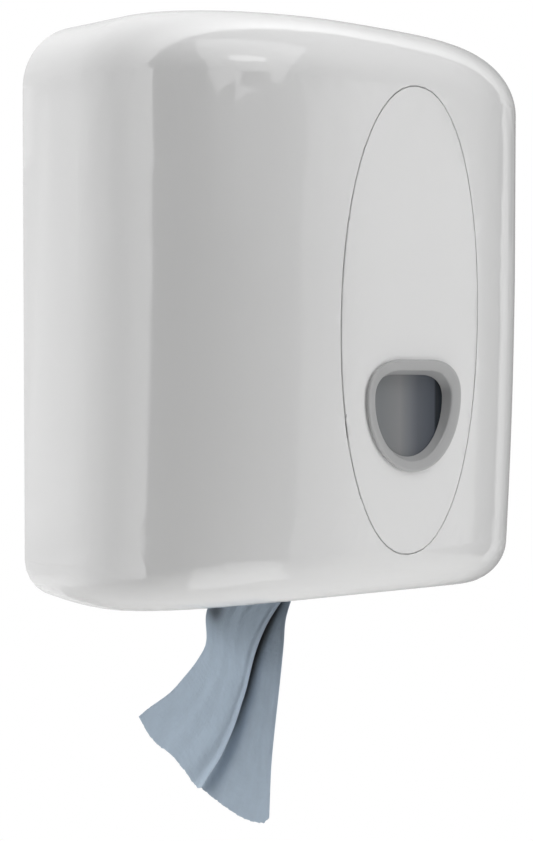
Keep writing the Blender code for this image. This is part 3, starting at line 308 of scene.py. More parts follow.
print("room nodes", len(room.nodes))

# %% The floor
FLOOR_Z = -0.9
FLOOR_RADIUS = 1.5

bpy.ops.mesh.primitive_circle_add(
    vertices=96, radius=FLOOR_RADIUS, fill_type="NGON", location=(0, 0, FLOOR_Z)
)
floor = bpy.context.object
floor.name = "studio_floor"
print("floor at", FLOOR_Z, "m")

# %% [markdown]
# ## Shared effects
# Two effects serve many finishes. Moulded grain is the faint skin that a mould leaves on
# plastic: a fine noise for the bump and a broad one for the gloss. Crepe is the crossing of
# short wrinkles and pressed dots that makes wiping paper soft. Each could be drawn again in
# every material, but as a node group it is made once. A group gives out only heights and
# masks, so that every material can weigh them in its own way.


# %% Helpers for effects
def new_group(name, inputs, outputs):
    """A shader node group with float or vector sockets, and its two end nodes."""
    group = bpy.data.node_groups.new(name, "ShaderNodeTree")
    for label, kind, value in inputs:
        socket = group.interface.new_socket(name=label, in_out="INPUT", socket_type=kind)
        if value is not None:
            socket.default_value = value
    for label in outputs:
        group.interface.new_socket(name=label, in_out="OUTPUT", socket_type="NodeSocketFloat")
    return group, group.nodes.new("NodeGroupInput"), group.nodes.new("NodeGroupOutput")


def noise(tree, vector, scale, detail):
    """A noise texture over a vector; its scale is a socket or a number."""
    node = tree.nodes.new("ShaderNodeTexNoise")
    tree.links.new(vector, node.inputs["Vector"])
    node.inputs["Detail"].default_value = detail
    feed(tree, node.inputs["Scale"], scale)
    return node.outputs["Fac"]


# %% Moulded grain
BROAD_SHARE = 0.35

grain_group, grain_in, grain_out = new_group(
    "moulded_grain",
    [("Vector", "NodeSocketVector", None), ("Fine Scale", "NodeSocketFloat", 900.0),
     ("Broad Scale", "NodeSocketFloat", 14.0)],
    ["Height", "Handling"],
)
fine = noise(grain_group, grain_in.outputs["Vector"], grain_in.outputs["Fine Scale"], detail=3.0)
broad = noise(grain_group, grain_in.outputs["Vector"], grain_in.outputs["Broad Scale"], detail=4.0)
ripple = math_node(grain_group, "MULTIPLY", broad, BROAD_SHARE)
height = math_node(grain_group, "ADD", fine, ripple)
grain_group.links.new(height, grain_out.inputs["Height"])
grain_group.links.new(broad, grain_out.inputs["Handling"])
print("moulded grain has", len(grain_group.nodes), "nodes")

# %% Crepe
WRINKLE_STRETCH = (0.28, 1.0, 1.0)
DOT_DISORDER = 0.15
DOT_SHARE = 0.5
FIBRE_SCALE = 90.0

crepe_group, crepe_in, crepe_out = new_group(
    "paper_crepe",
    [("Vector", "NodeSocketVector", None), ("Wrinkle Scale", "NodeSocketFloat", 420.0),
     ("Dot Scale", "NodeSocketFloat", 260.0)],
    ["Height", "Fibre"],
)
stretch = crepe_group.nodes.new("ShaderNodeVectorMath")
stretch.operation = "MULTIPLY"
stretch.inputs[1].default_value = WRINKLE_STRETCH
crepe_group.links.new(crepe_in.outputs["Vector"], stretch.inputs[0])
wrinkle = noise(crepe_group, stretch.outputs[0], crepe_in.outputs["Wrinkle Scale"], detail=3.0)
dots = crepe_group.nodes.new("ShaderNodeTexVoronoi")
dots.feature = "SMOOTH_F1"
dots.inputs["Randomness"].default_value = DOT_DISORDER
crepe_group.links.new(crepe_in.outputs["Vector"], dots.inputs["Vector"])
crepe_group.links.new(crepe_in.outputs["Dot Scale"], dots.inputs["Scale"])
pressed = math_node(crepe_group, "MULTIPLY", dots.outputs["Distance"], DOT_SHARE)
height = math_node(crepe_group, "ADD", wrinkle, pressed)
fibre = noise(crepe_group, crepe_in.outputs["Vector"], FIBRE_SCALE, detail=5.0)
crepe_group.links.new(height, crepe_out.inputs["Height"])
crepe_group.links.new(fibre, crepe_out.inputs["Fibre"])
print("crepe has", len(crepe_group.nodes), "nodes")

# %% [markdown]
# ## Finishes
# The cover is glossy white moulded plastic. The parts behind it come from a matte mould,
# the screws, pins and striker are zinc plated, the star is soft rubber, the window is
# smoked, and the paper is a dull blue. Constants stay on the shader's own sockets, and only
# what changes over the surface comes through nodes.


# %% One function for every finish
def finish(name, colour, roughness, effect, bump, vary, rough_vary, coords="Object",
           effect_values=(), **constants):
    """A Principled material whose bump, tone and gloss follow one of the shared effects."""
    made = bpy.data.materials.new(name)
    made.use_nodes = True
    tree = made.node_tree
    shader = tree.nodes["Principled BSDF"]
    for label, value in constants.items():
        shader.inputs[label.replace("_", " ").title().replace("Ior", "IOR")].default_value = value
    place = tree.nodes.new("ShaderNodeTexCoord")
    group = tree.nodes.new("ShaderNodeGroup")
    group.node_tree = effect
    tree.links.new(place.outputs[coords], group.inputs["Vector"])
    for label, value in effect_values:
        group.inputs[label].default_value = value
    mask = group.outputs[1]
    tone = tree.nodes.new("ShaderNodeMix")
    tone.data_type = "RGBA"
    tone.inputs["A"].default_value = (*[c * (1 - vary) for c in colour], 1)
    tone.inputs["B"].default_value = (*[min(1.0, c * (1 + vary)) for c in colour], 1)
    tree.links.new(mask, tone.inputs["Factor"])
    tree.links.new(tone.outputs["Result"], shader.inputs["Base Color"])
    gloss = tree.nodes.new("ShaderNodeMapRange")
    gloss.inputs["To Min"].default_value = roughness - rough_vary / 2
    gloss.inputs["To Max"].default_value = roughness + rough_vary / 2
    tree.links.new(mask, gloss.inputs["Value"])
    tree.links.new(gloss.outputs["Result"], shader.inputs["Roughness"])
    relief = tree.nodes.new("ShaderNodeBump")
    relief.inputs["Distance"].default_value = bump
    tree.links.new(group.outputs["Height"], relief.inputs["Height"])
    tree.links.new(relief.outputs["Normal"], shader.inputs["Normal"])
    return made


# %% Plastic, metal and rubber
white_gloss = finish(
    "white_gloss", (0.80, 0.80, 0.80), roughness=0.30, effect=grain_group, bump=0.00001,
    vary=0.006, rough_vary=0.05, specular_ior_level=0.2, coat_weight=1.0, coat_roughness=0.04,
)
grey_gloss = finish(
    "grey_gloss", (0.45, 0.452, 0.455), roughness=0.34, effect=grain_group, bump=0.00002,
    vary=0.01, rough_vary=0.05, specular_ior_level=0.3, coat_weight=0.5, coat_roughness=0.08,
)
white_matte = finish(
    "white_matte", (0.72, 0.73, 0.74), roughness=0.48, effect=grain_group, bump=0.00008,
    vary=0.02, rough_vary=0.10,
)
lock_grey = finish(
    "lock_grey", (0.33, 0.34, 0.35), roughness=0.36, effect=grain_group, bump=0.00004,
    vary=0.03, rough_vary=0.10,
)
zinc = finish(
    "zinc", (0.66, 0.67, 0.69), roughness=0.34, effect=grain_group, bump=0.00003,
    vary=0.08, rough_vary=0.18, metallic=1.0,
    effect_values=(("Fine Scale", 1600.0), ("Broad Scale", 160.0)),
)
rubber = finish(
    "rubber", (0.030, 0.031, 0.034), roughness=0.62, effect=grain_group, bump=0.00006,
    vary=0.10, rough_vary=0.12,
)
print("finishes", [m.name for m in bpy.data.materials])

# %% Paper and smoked plastic
PAPER_BLUE = (0.46, 0.555, 0.66)

paper = finish(
    "blue_paper", PAPER_BLUE, roughness=0.92, effect=crepe_group, bump=0.0004,
    vary=0.09, rough_vary=0.06, coords="UV", sheen_weight=0.25, sheen_roughness=0.6,
    specular_ior_level=0.2,
)
roll_paper = finish(
    "roll_paper", PAPER_BLUE, roughness=0.92, effect=crepe_group, bump=0.0003,
    vary=0.05, rough_vary=0.06, sheen_weight=0.2, specular_ior_level=0.2,
    effect_values=(("Wrinkle Scale", 300.0), ("Dot Scale", 240.0)),
)
smoked = finish(
    "smoked_lens", (0.97, 0.97, 0.97), roughness=0.12, effect=grain_group, bump=0.00001,
    vary=0.02, rough_vary=0.04, transmission_weight=0.10, ior=1.45, specular_ior_level=0.25,
)
print("finishes", len(bpy.data.materials))

# %% [markdown]
# The smoked pane lets one see the roll close behind it: pale where the light from the left
# falls on its curve, darker towards the right, and almost black where the roll ends and the
# empty inside of the cover begins. Light that has to find its way through a dark pane makes
# a noisy picture, so this light and shade are painted on the pane itself, as a ramp across
# its width. In the same way the shade where two layers of paper lie on each other and keep
# out the light is painted on the tail, as a value that darkens its deepest fold.


# %% Painted light and shade of the pane
def darken(material, factor):
    """Multiplies a material's Base Color by a colour or a value, which paints light and shade into
    it.
    """
    tree = material.node_tree
    shader = tree.nodes["Principled BSDF"]
    under = shader.inputs["Base Color"].links[0].from_socket
    product = tree.nodes.new("ShaderNodeMix")
    product.data_type = "RGBA"
    product.blend_type = "MULTIPLY"
    product.inputs["Factor"].default_value = 1.0
    tree.links.new(under, product.inputs["A"])
    tree.links.new(factor, product.inputs["B"])
    tree.links.new(product.outputs["Result"], shader.inputs["Base Color"])


PANE_LEFT_X, PANE_RIGHT_X = -0.0165, 0.0220
# Painted light and shade: the lit roll behind the pane, pale at the left, darker to the right,
# near black past its end.
PAINTED_PANE_LIGHT = (
    (0.0, (0.23, 0.24, 0.25)), (0.30, (0.27, 0.275, 0.28)), (0.46, (0.19, 0.20, 0.22)),
    (0.60, (0.12, 0.13, 0.15)), (0.78, (0.09, 0.10, 0.12)), (0.87, (0.07, 0.08, 0.10)),
    (0.90, (0.016, 0.020, 0.026)), (1.0, (0.016, 0.020, 0.026)),
)
tree = smoked.node_tree
place = tree.nodes.new("ShaderNodeTexCoord")
split = tree.nodes.new("ShaderNodeSeparateXYZ")
tree.links.new(place.outputs["Object"], split.inputs["Vector"])
width_share = tree.nodes.new("ShaderNodeMapRange")
width_share.inputs["From Min"].default_value = PANE_LEFT_X
width_share.inputs["From Max"].default_value = PANE_RIGHT_X
tree.links.new(split.outputs["X"], width_share.inputs["Value"])
ramp = tree.nodes.new("ShaderNodeValToRGB")
for at, _ in PAINTED_PANE_LIGHT[1:-1]:
    ramp.color_ramp.elements.new(at)
for stop, (at, colour) in zip(ramp.color_ramp.elements, PAINTED_PANE_LIGHT):
    stop.position = at
    stop.color = (*colour, 1)
tree.links.new(width_share.outputs["Result"], ramp.inputs["Fac"])
darken(smoked, ramp.outputs["Color"])
print("pane tones", len(ramp.color_ramp.elements))

# %% Painted shade of the creases
# Painted shade: the paper's colour is darkened where the fold, the pucker and the cover keep out
# the light.
PAINTED_SHADE_STRENGTH = 0.90

tree = paper.node_tree
painted_shade_input = tree.nodes.new("ShaderNodeAttribute")
painted_shade_input.attribute_name = "painted_shade"
shade = math_node(tree, "MULTIPLY", painted_shade_input.outputs["Fac"], -PAINTED_SHADE_STRENGTH)
darken(paper, math_node(tree, "ADD", shade, 1.0))
print("a full crease keeps", round(1 - PAINTED_SHADE_STRENGTH, 2), "of the paper's colour")

# %% [markdown]
# ## Finished copies of the solids
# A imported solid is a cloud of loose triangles, shaded flat. On the real piece the round
# parts are smooth and every moulded or stamped edge is slightly rounded, and it is this
# rounding that catches the light. Each piece could be modelled again, but its form is
# right as it stands. So it is copied, its triangles are merged, flat areas are dissolved
# to single faces, and a fine bevel follows the sharp edges.


# %% Helpers that act on one piece
def alone(piece):
    """Selects one object only and makes it active."""
    bpy.ops.object.select_all(action="DESELECT")
    piece.select_set(True)
    bpy.context.view_layer.objects.active = piece


def apply_all(piece):
    """Makes every modifier of a piece part of its mesh."""
    alone(piece)
    for step in list(piece.modifiers):
        bpy.ops.object.modifier_apply(modifier=step.name)


def smooth(piece, degrees=32):
    """Shades a piece smooth, except across edges that turn more sharply than this."""
    alone(piece)
    bpy.ops.object.shade_smooth_by_angle(angle=math.radians(degrees))


def level_faces(piece):
    """Keeps wide flat faces flat in the shading, and leaves the turn to the narrow ones."""
    piece.modifiers.new("level_faces", "WEIGHTED_NORMAL").keep_sharp = True
    apply_all(piece)


def dress(piece, material, body, replaced):
    """Gives a finished piece its material and its body, and hides the solid that it stands for."""
    piece.data.materials.clear()
    piece.data.materials.append(material)
    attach(piece, body)
    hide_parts(replaced)


# %% Copy, merge, soften
SAME_SPOT = 0.00001
SHARP_DEGREES = 40


def round_edges(piece, width, degrees):
    """A fine bevel in two steps along every edge that turns more sharply than this."""
    rounding = piece.modifiers.new("round_edges", "BEVEL")
    rounding.width = width
    rounding.segments = 2
    rounding.limit_method = "ANGLE"
    rounding.angle_limit = math.radians(degrees)
    rounding.use_clamp_overlap = False
    apply_all(piece)


def softened(node, name, bevel, flat_degrees=0.6):
    """A merged copy of a solid with softly rounded edges."""
    piece = bpy.data.objects.new(name, nodes[node].data.copy())
    bpy.context.scene.collection.objects.link(piece)
    alone(piece)
    bpy.ops.mesh.customdata_custom_splitnormals_clear()
    bpy.ops.object.mode_set(mode="EDIT")
    bpy.ops.mesh.select_all(action="SELECT")
    bpy.ops.mesh.remove_doubles(threshold=SAME_SPOT)
    bpy.ops.mesh.dissolve_limited(angle_limit=math.radians(flat_degrees))
    bpy.ops.object.mode_set(mode="OBJECT")
    if bevel:
        round_edges(piece, bevel, SHARP_DEGREES)
    smooth(piece)
    level_faces(piece)
    return piece


# %% The rigid pieces that keep their form
# Each row: solid, finished piece, width of the bevel, finish, body, slot
FINISHED = [
    ("back_plate", "plate_moulding", 0.0004, white_matte, "wall_unit", "plate"),
    ("roll_shelf", "shelf_moulding", 0.0004, white_matte, "wall_unit", "plate"),
    ("striker", "striker_strip", 0.0003, zinc, "wall_unit", "steel"),
    ("hinge_pin_left", "left_pin", 0.0002, zinc, "wall_unit", "steel"),
    ("hinge_pin_right", "right_pin", 0.0002, zinc, "wall_unit", "steel"),
    ("nozzle_body", "nozzle_moulding", 0.0003, white_matte, "nozzle", "nozzle"),
    ("nozzle_ring", "nozzle_cap_ring", 0.0002, white_matte, "nozzle", "nozzle"),
    ("nozzle_star", "rubber_star", 0.0001, rubber, "nozzle", "star"),
    ("window_lens", "smoked_pane", 0.0002, smoked, "cover", "lens"),
    ("window_retainer", "pane_frame", 0.0002, white_matte, "cover", "plate"),
    ("lock_housing", "lock_collar", 0.0002, lock_grey, "cover", "lock"),
    ("lock_nut", "lock_hex_nut", 0.0003, lock_grey, "cover", "lock"),
    ("lock_barrel", "lock_core", 0.0001, zinc, "lock", "steel"),
    ("lock_cam", "lock_finger", 0.0002, zinc, "lock", "steel"),
    ("lock_cam_screw", "finger_screw", 0.0002, zinc, "lock", "steel"),
    ("striker_screw", "strip_screw", 0.0002, zinc, "wall_unit", "steel"),
]
for number in range(1, 5):
    FINISHED.append((
        f"shelf_screw_{number}", f"shelf_fixing_{number}", 0.0002, zinc, "wall_unit", "steel"
    ))
for node, name, bevel, material, body, slot in FINISHED:
    piece = softened(node, name, bevel)
    dress(piece, material, body, node)
    print(name, len(piece.data.polygons), "faces")

# %% [markdown]
# ## Cover and inlay
# The cover is the largest glossy face of the object, and a gloss shows every flat facet.
# The solids have facets of several degrees. So the copies of the cover and of its inlay are
# cut into finer strips, and every point that lies on a skin is then pushed out to
# the formula's own curve. Only the edge beside the hinge stays as it is, because the cover
# swings past the back plate there with little room to spare. The rim of the seam is
# rounded last, which makes its fine line.

# %% Cuts between the facets
STRIPS_PER_FACET = 3
CORNER_FACETS, TOP_FACETS, BOTTOM_FACETS, SIDE_FACETS = 12, 8, 6, 9


def between(facets):
    """Shares that split each of several equal facets into finer strips."""
    total = facets * STRIPS_PER_FACET
    return [i / total for i in range(1, total) if i % STRIPS_PER_FACET]


def level_cuts():
    """Cuts across the height, each a point and a normal that follow the draft."""
    heights = []
    for sign, radius, facets in (
        (1, TOP_EDGE_RADIUS, TOP_FACETS), (-1, BOTTOM_EDGE_RADIUS, BOTTOM_FACETS)
    ):
        for share in between(facets):
            rise = radius * math.sin(share * math.pi / 2)
            heights.append(sign * (half_height - radius + rise))
    low, high = BOTTOM_EDGE_RADIUS - half_height, half_height - TOP_EDGE_RADIUS
    heights += [low + (high - low) * share for share in between(SIDE_FACETS)]
    cuts = []
    for z in heights:
        draft = TOP_DRAFT if z > 0 else BOTTOM_DRAFT
        cuts.append(((0, 0, z), (0, -z * draft / (COVER_DEPTH * half_height), 1), 0))
    return cuts


def corner_cuts():
    """Upright cuts through the axis of each round corner, fanned over its arc."""
    bow_y = FRONT_RADIUS - COVER_DEPTH
    corner_y = bow_y - (FRONT_RADIUS - CORNER_RADIUS) * math.cos(bow_swing)
    cuts = []
    for side in (-1, 1):
        for share in between(CORNER_FACETS):
            turn = share * (math.pi / 2 - bow_swing)
            normal = (side * math.sin(turn), math.cos(turn), 0)
            cuts.append(((side * corner_x, corner_y, 0), normal, side))
    return cuts


print("cuts", len(level_cuts()), "level and", len(corner_cuts()), "upright")

# %% Make a faceted skin true
FACET_SLACK = 0.0005
CUT_SLACK = 0.00002
HINGE_FREE_Y, HINGE_FREE_Z = -0.035, -0.130
TRUING_STEPS = 2


def cut_finer(fine):
    """Cuts a mesh between its facets; an upright cut is for one side of the cover only."""
    for place, normal, side in level_cuts() + corner_cuts():
        faces = [f for f in fine.faces if side * f.calc_center_bounds().x >= 0]
        edges = {e for f in faces for e in f.edges}
        spots = {v for f in faces for v in f.verts}
        bmesh.ops.bisect_plane(
            fine, geom=list(spots) + list(edges) + faces, plane_co=place, plane_no=normal,
            dist=CUT_SLACK,
        )


def made_true(piece, skins):
    """Cuts the piece finer and sets its points on the curved skins at these depths."""
    fine = bmesh.new()
    fine.from_mesh(piece.data)
    cut_finer(fine)
    moved = 0
    for spot in fine.verts:
        if spot.co.y > HINGE_FREE_Y and spot.co.z < HINGE_FREE_Z:
            continue
        for _ in range(TRUING_STEPS):
            narrow, shorten = drafts(spot.co.y, spot.co.z)
            plain = Vector((spot.co.x / narrow, spot.co.y, spot.co.z / shorten))
            depth, outward = skin_depth(*plain)
            skin = min(skins, key=lambda s: abs(depth - s))
            if abs(depth - skin) > FACET_SLACK:
                break
            plain += outward * (depth - skin)
            narrow, shorten = drafts(plain.y, plain.z)
            spot.co = (plain.x * narrow, plain.y, plain.z * shorten)
            moved += 1
    fine.to_mesh(piece.data)
    fine.free()
    return moved


# %% The cover and its inlay
INLAY_THICKNESS = 0.0014
RECESS_DEPTH = 0.0017
COVER_WALL = 0.003
SLIVER = 0.00025
SEAM_ROUNDING, SEAM_DEGREES = 0.0003, 50

for node, name, skins, slot in (
    ("cover_shell", "cover_moulding", (0.0, RECESS_DEPTH, COVER_WALL), "cover"),
    ("front_inlay", "oval_inlay", (0.0, INLAY_THICKNESS), "inlay"),
):
    piece = softened(node, name, 0, flat_degrees=0.02)
    moved = made_true(piece, skins)
    alone(piece)
    bpy.ops.object.mode_set(mode="EDIT")
    bpy.ops.mesh.select_all(action="SELECT")
    bpy.ops.mesh.remove_doubles(threshold=SLIVER)
    bpy.ops.object.mode_set(mode="OBJECT")
    round_edges(piece, SEAM_ROUNDING, SEAM_DEGREES)
    smooth(piece)
    dress(piece, white_gloss, "cover", node)
    print(name, len(piece.data.polygons), "faces,", moved, "moves")

# %% [markdown]
# ## Window bezel
# The bezel is a raised frame about a shield-shaped pane: a rounded lip outside, a long
# slope that falls inwards, and a flared wall down to the pane. It could be a bevelled copy
# of the solid too, but a bevel gives every edge the same rounding, and not that slope.
# So it starts as a circle that is laid on the shield's outline, and the outline is extruded
# through the points of the section, each time a little further in, up or down.

# %% The shield's outline
WINDOW_FLAT_HALF = 0.0085
WINDOW_SHOULDER = 0.0192
SHOULDER_POWER, SHOULDER_STEPS = 2.28, 18
POINT_POWER, POINT_STEPS = 2.02, 30
FLAT_STEPS = 8


def power_arc(across, depth, power, steps):
    """A quarter of a superellipse, from its side point to its middle point."""
    angles = [math.pi / 2 * i / steps for i in range(steps)]
    points = [
        (across * math.cos(a) ** (2 / power), depth * math.sin(a) ** (2 / power))
        for a in angles
    ]
    return points + [(0.0, depth)]


def shield(inset):
    """The window's outline, drawn in by inset: flat top, round shoulders, blunt point."""
    half = WINDOW_HALF_WIDTH - inset
    shoulder_z = WINDOW_TOP_Z - WINDOW_SHOULDER
    top = WINDOW_TOP_Z - inset - shoulder_z
    foot = shoulder_z - (WINDOW_TOP_Z - WINDOW_HEIGHT + inset)
    lower = [(x, shoulder_z - z) for x, z in power_arc(half, foot, POINT_POWER, POINT_STEPS)]
    upper = power_arc(half - WINDOW_FLAT_HALF, top, SHOULDER_POWER, SHOULDER_STEPS)
    right = lower[::-1] + [(WINDOW_FLAT_HALF + x, shoulder_z + z) for x, z in upper[1:]]
    right += [
        (WINDOW_FLAT_HALF * (1 - i / FLAT_STEPS), shoulder_z + top)
        for i in range(1, FLAT_STEPS + 1)
    ]
    return right + [(-x, z) for x, z in right[-2:0:-1]]


print("shield points", len(shield(0)))


# %% Extrude an outline through rings
def extruded_rings(name, rings):
    """Starts from a circle primitive and extrudes it through rings of points in space."""
    count = len(rings[0])
    bpy.ops.object.select_all(action="DESELECT")
    bpy.ops.mesh.primitive_circle_add(vertices=count, radius=0.01)
    piece = bpy.context.object
    piece.name = name
    for spot, place in zip(piece.data.vertices, rings[0]):
        spot.co = place
    piece.matrix_world.identity()
    for ring in rings[1:]:
        bpy.ops.object.mode_set(mode="EDIT")
        bpy.ops.mesh.extrude_edges_move()
        bpy.ops.object.mode_set(mode="OBJECT")
        for spot, place in zip(piece.data.vertices[-count:], ring):
            spot.co = place
    return piece


# %% The bezel
# Each pair: how far in from the outline, and how far proud of the cover
SECTION = (
    (0.0006, 0.0002), (0.0001, 0.0007), (0.0, 0.0013), (0.0002, 0.0019), (0.0006, 0.0023),
    (0.0011, 0.0024), (0.0016, 0.0022), (0.0026, 0.0017), (0.0038, 0.0011), (0.0050, 0.0005),
    (0.0056, 0.0000), (0.0058, -0.0006), (0.0061, -0.0015),
)
BEZEL_BAND = 0.0077
BEZEL_TUBE = 0.0052
BEZEL_REAR_Y = -0.1920
TUBE_PROUD = 0.0004

rings = [[(x, front_y(x, z, proud), z) for x, z in shield(inset)] for inset, proud in SECTION]
for inset in (BEZEL_BAND, BEZEL_TUBE):
    rings.append([(x, BEZEL_REAR_Y, z) for x, z in shield(inset)])
rings.append([(x, front_y(x, z, TUBE_PROUD), z) for x, z in shield(BEZEL_TUBE)])
bezel = extruded_rings("window_lip", rings)
bpy.ops.object.mode_set(mode="EDIT")
bpy.ops.mesh.select_all(action="DESELECT")
bpy.ops.mesh.select_mode(type="EDGE")
bpy.ops.mesh.select_non_manifold()
bpy.ops.mesh.bridge_edge_loops()
bpy.ops.mesh.select_all(action="SELECT")
bpy.ops.mesh.normals_make_consistent(inside=False)
bpy.ops.object.mode_set(mode="OBJECT")
smooth(bezel, degrees=50)
dress(bezel, grey_gloss, "cover", "window_bezel")
print("window lip", len(bezel.data.vertices), "points")

# %% [markdown]
# ## Paper roll
# The roll is wound paper, so its wall is never quite true. It could be a plain copy of the
# solid, but through the pane one looks straight at that wall. So a cylinder gets a narrow
# ring at its rims and a hole through its middle, by insetting both ends and bridging them.
# Its wall is then drawn in a little, for the turns already used, and waved very slightly.

# %% Model the roll
ROLL_Y = -0.097
ROLL_RADIUS = 0.085
ROLL_CORE = 0.0335
ROLL_LOW, ROLL_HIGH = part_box("paper_roll")[0][2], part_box("paper_roll")[1][2]
END_FACING = 0.9
RIM_RING = 0.0015
WALL_SLACK = 0.0001
WALL_DRAWN_IN = 0.0012
WALL_WAVE, WAVES_AROUND = 0.0002, 3

bpy.ops.object.select_all(action="DESELECT")
bpy.ops.mesh.primitive_cylinder_add(
    vertices=144, radius=ROLL_RADIUS, depth=ROLL_HIGH - ROLL_LOW,
    location=(0, ROLL_Y, (ROLL_LOW + ROLL_HIGH) / 2),
)
roll = bpy.context.object
roll.name = "wound_roll"
bpy.ops.object.transform_apply(location=True, rotation=True, scale=True)
bpy.ops.object.mode_set(mode="EDIT")
bpy.ops.mesh.select_all(action="DESELECT")
bpy.ops.object.mode_set(mode="OBJECT")
for face in roll.data.polygons:
    face.select = abs(face.normal.z) > END_FACING
bpy.ops.object.mode_set(mode="EDIT")
bpy.ops.mesh.inset(thickness=RIM_RING, use_individual=True)
bpy.ops.mesh.inset(thickness=ROLL_RADIUS - ROLL_CORE - RIM_RING, use_individual=True)
bpy.ops.mesh.bridge_edge_loops()
bpy.ops.object.mode_set(mode="OBJECT")
wave_start = random.Random(11).uniform(0, math.tau)
for spot in roll.data.vertices:
    x, y = spot.co.x, spot.co.y - ROLL_Y
    around, out = math.atan2(y, x), math.hypot(x, y)
    if out > ROLL_RADIUS - WALL_SLACK:
        wave = WALL_WAVE * (1 + math.sin(WAVES_AROUND * around + wave_start))
        dent = WALL_DRAWN_IN + wave
        spot.co.x -= x / out * dent
        spot.co.y -= y / out * dent
smooth(roll)
dress(roll, roll_paper, "wall_unit", "paper_roll")
print("roll", len(roll.data.polygons), "faces")

# %% [markdown]
# ## Paper strand and tail
# The sheet is pulled out of the roll's middle, gathers into a strand, passes the star and
# opens again below. Cloth could be dropped and simulated for this, but then no fold would
# lie where the real one does. So both parts are grids: one direction runs across the sheet
# and the other down it, and each point is moved to its place in the folded sheet. A grid
# keeps the sheet's own coordinates in its UV map, so the crepe follows every fold.


# %% Curves through a table
def clamped(value):
    """The value, held between nought and one."""
    return min(1.0, max(0.0, value))


def eased(value, start=0.0, length=1.0):
    """A soft step from nought to one that begins at start and takes this length."""
    share = clamped((value - start) / length)
    return share * share * (3 - 2 * share)


def hump(offset, reach):
    """A round bump of height one, which has mostly died away at its reach."""
    return math.exp(-((offset / reach) ** 2))


def curve_through(shares, at):
    """A smooth curve through (place, share) pairs."""
    index = 0
    while index < len(shares) - 2 and at > shares[index + 1][0]:
        index += 1

    def slope(i):
        """How steep the curve is at one place of the table."""
        low, high = shares[max(0, i - 1)], shares[min(len(shares) - 1, i + 1)]
        return (high[1] - low[1]) / (high[0] - low[0])

    (start, first), (end, last) = shares[index], shares[index + 1]
    span = end - start
    t = clamped((at - start) / span)
    return (
        first * (2 * t**3 - 3 * t**2 + 1)
        + slope(index) * span * (t**3 - 2 * t**2 + t)
        + last * (3 * t**2 - 2 * t**3)
        + slope(index + 1) * span * (t**3 - t**2)
    )


print("a soft step is at", round(eased(0.25), 3), "a quarter of the way")

# %% A sheet from a grid
SHEET_WIDTH = 0.195


def sheet_grid(name, across, down, place):
    """A grid whose point at (share across, share down) goes to place(across, down)."""
    bpy.ops.object.select_all(action="DESELECT")
    bpy.ops.mesh.primitive_grid_add(x_subdivisions=across, y_subdivisions=down, size=2)
    piece = bpy.context.object
    piece.name = name
    for spot in piece.data.vertices:
        share_across, share_down = (spot.co.x + 1) / 2, (1 - spot.co.y) / 2
        spot.co = place(share_across, share_down)
    return piece


def scale_uv(piece, width, length):
    """Makes one unit of the UV map one metre of the sheet."""
    for loop in piece.data.uv_layers.active.data:
        loop.uv.x *= width
        loop.uv.y *= length


print("the sheet is as wide as the roll is high:", SHEET_WIDTH, "m")

# %% [markdown]
# ## Outline of the tail
# The tail hangs from the nozzle and widens on its way down. Its left and right edges and
# the slanting torn edge are curves through a few places that were read off the picture. The
# tear is ragged, so its points are also moved up or down by small random teeth.

# %% The tail's outline
TAIL_TOP = Vector((0, ROLL_Y, -0.1440))
TAIL_SWING = math.radians(25)
TAIL_LENGTH = 0.1508
TAIL_CORNER_DROP = 0.0864
TAIL_CORNER_REACH = 0.0971
TAIL_RIGHT_REACH = 0.0229
LEFT_EDGE = (
    (0, 0.05), (0.10, 0.27), (0.20, 0.50), (0.31, 0.60), (0.53, 0.61), (0.64, 0.66),
    (0.74, 0.73), (0.85, 0.82), (0.95, 0.945), (1, 1),
)
RIGHT_EDGE = (
    (0, -0.20), (0.10, 0.25), (0.22, 0.565), (0.32, 0.645), (0.51, 0.775),
    (0.78, 0.945), (1, 1),
)
TORN_EDGE = (
    (0, 0), (0.10, 0.21), (0.24, 0.365), (0.34, 0.51), (0.43, 0.66), (0.50, 0.735),
    (0.60, 0.81), (0.78, 0.95), (0.95, 1), (1, 0.95),
)
TOOTH_SIZE = 0.00035
FINE_TEETH, FINE_SHARE = 180, 0.6
COARSE_TEETH, COARSE_SHARE = 61, 0.8
TEETH_FROM, TEETH_OVER = 0.96, 0.04
rng = random.Random(5)
TEETH = [rng.uniform(-1, 1) for _ in range(400)]


def tail_outline(across, down):
    """How far to the left a point of the sheet reaches, and how far down it hangs."""
    left = TAIL_CORNER_REACH * curve_through(LEFT_EDGE, down)
    right = TAIL_RIGHT_REACH * curve_through(RIGHT_EDGE, down)
    tear = curve_through(TORN_EDGE, across)
    drop = down * (TAIL_CORNER_DROP + (TAIL_LENGTH - TAIL_CORNER_DROP) * tear)
    tooth = TEETH[int(across * FINE_TEETH)] * FINE_SHARE
    tooth += TEETH[int(across * COARSE_TEETH)] * COARSE_SHARE
    drop += TOOTH_SIZE * tooth * eased(down, TEETH_FROM, TEETH_OVER)
    return left + (right - left) * across, drop


print("the tail's lowest corner hangs", round(tail_outline(0.95, 1)[1] * 1000, 1), "mm down")

# %% [markdown]
# ## Folds of the tail
# One deep fold runs down the sheet from the right to the left. Its left flank is steep and
# ends in a low crest, its right flank is gentle, and both halves of the sheet tilt away
# from the wall towards their edges. All of this opens out over the upper part, where the paper
# leaves the nozzle, and fine pleats from the squeeze of the star run down over it.

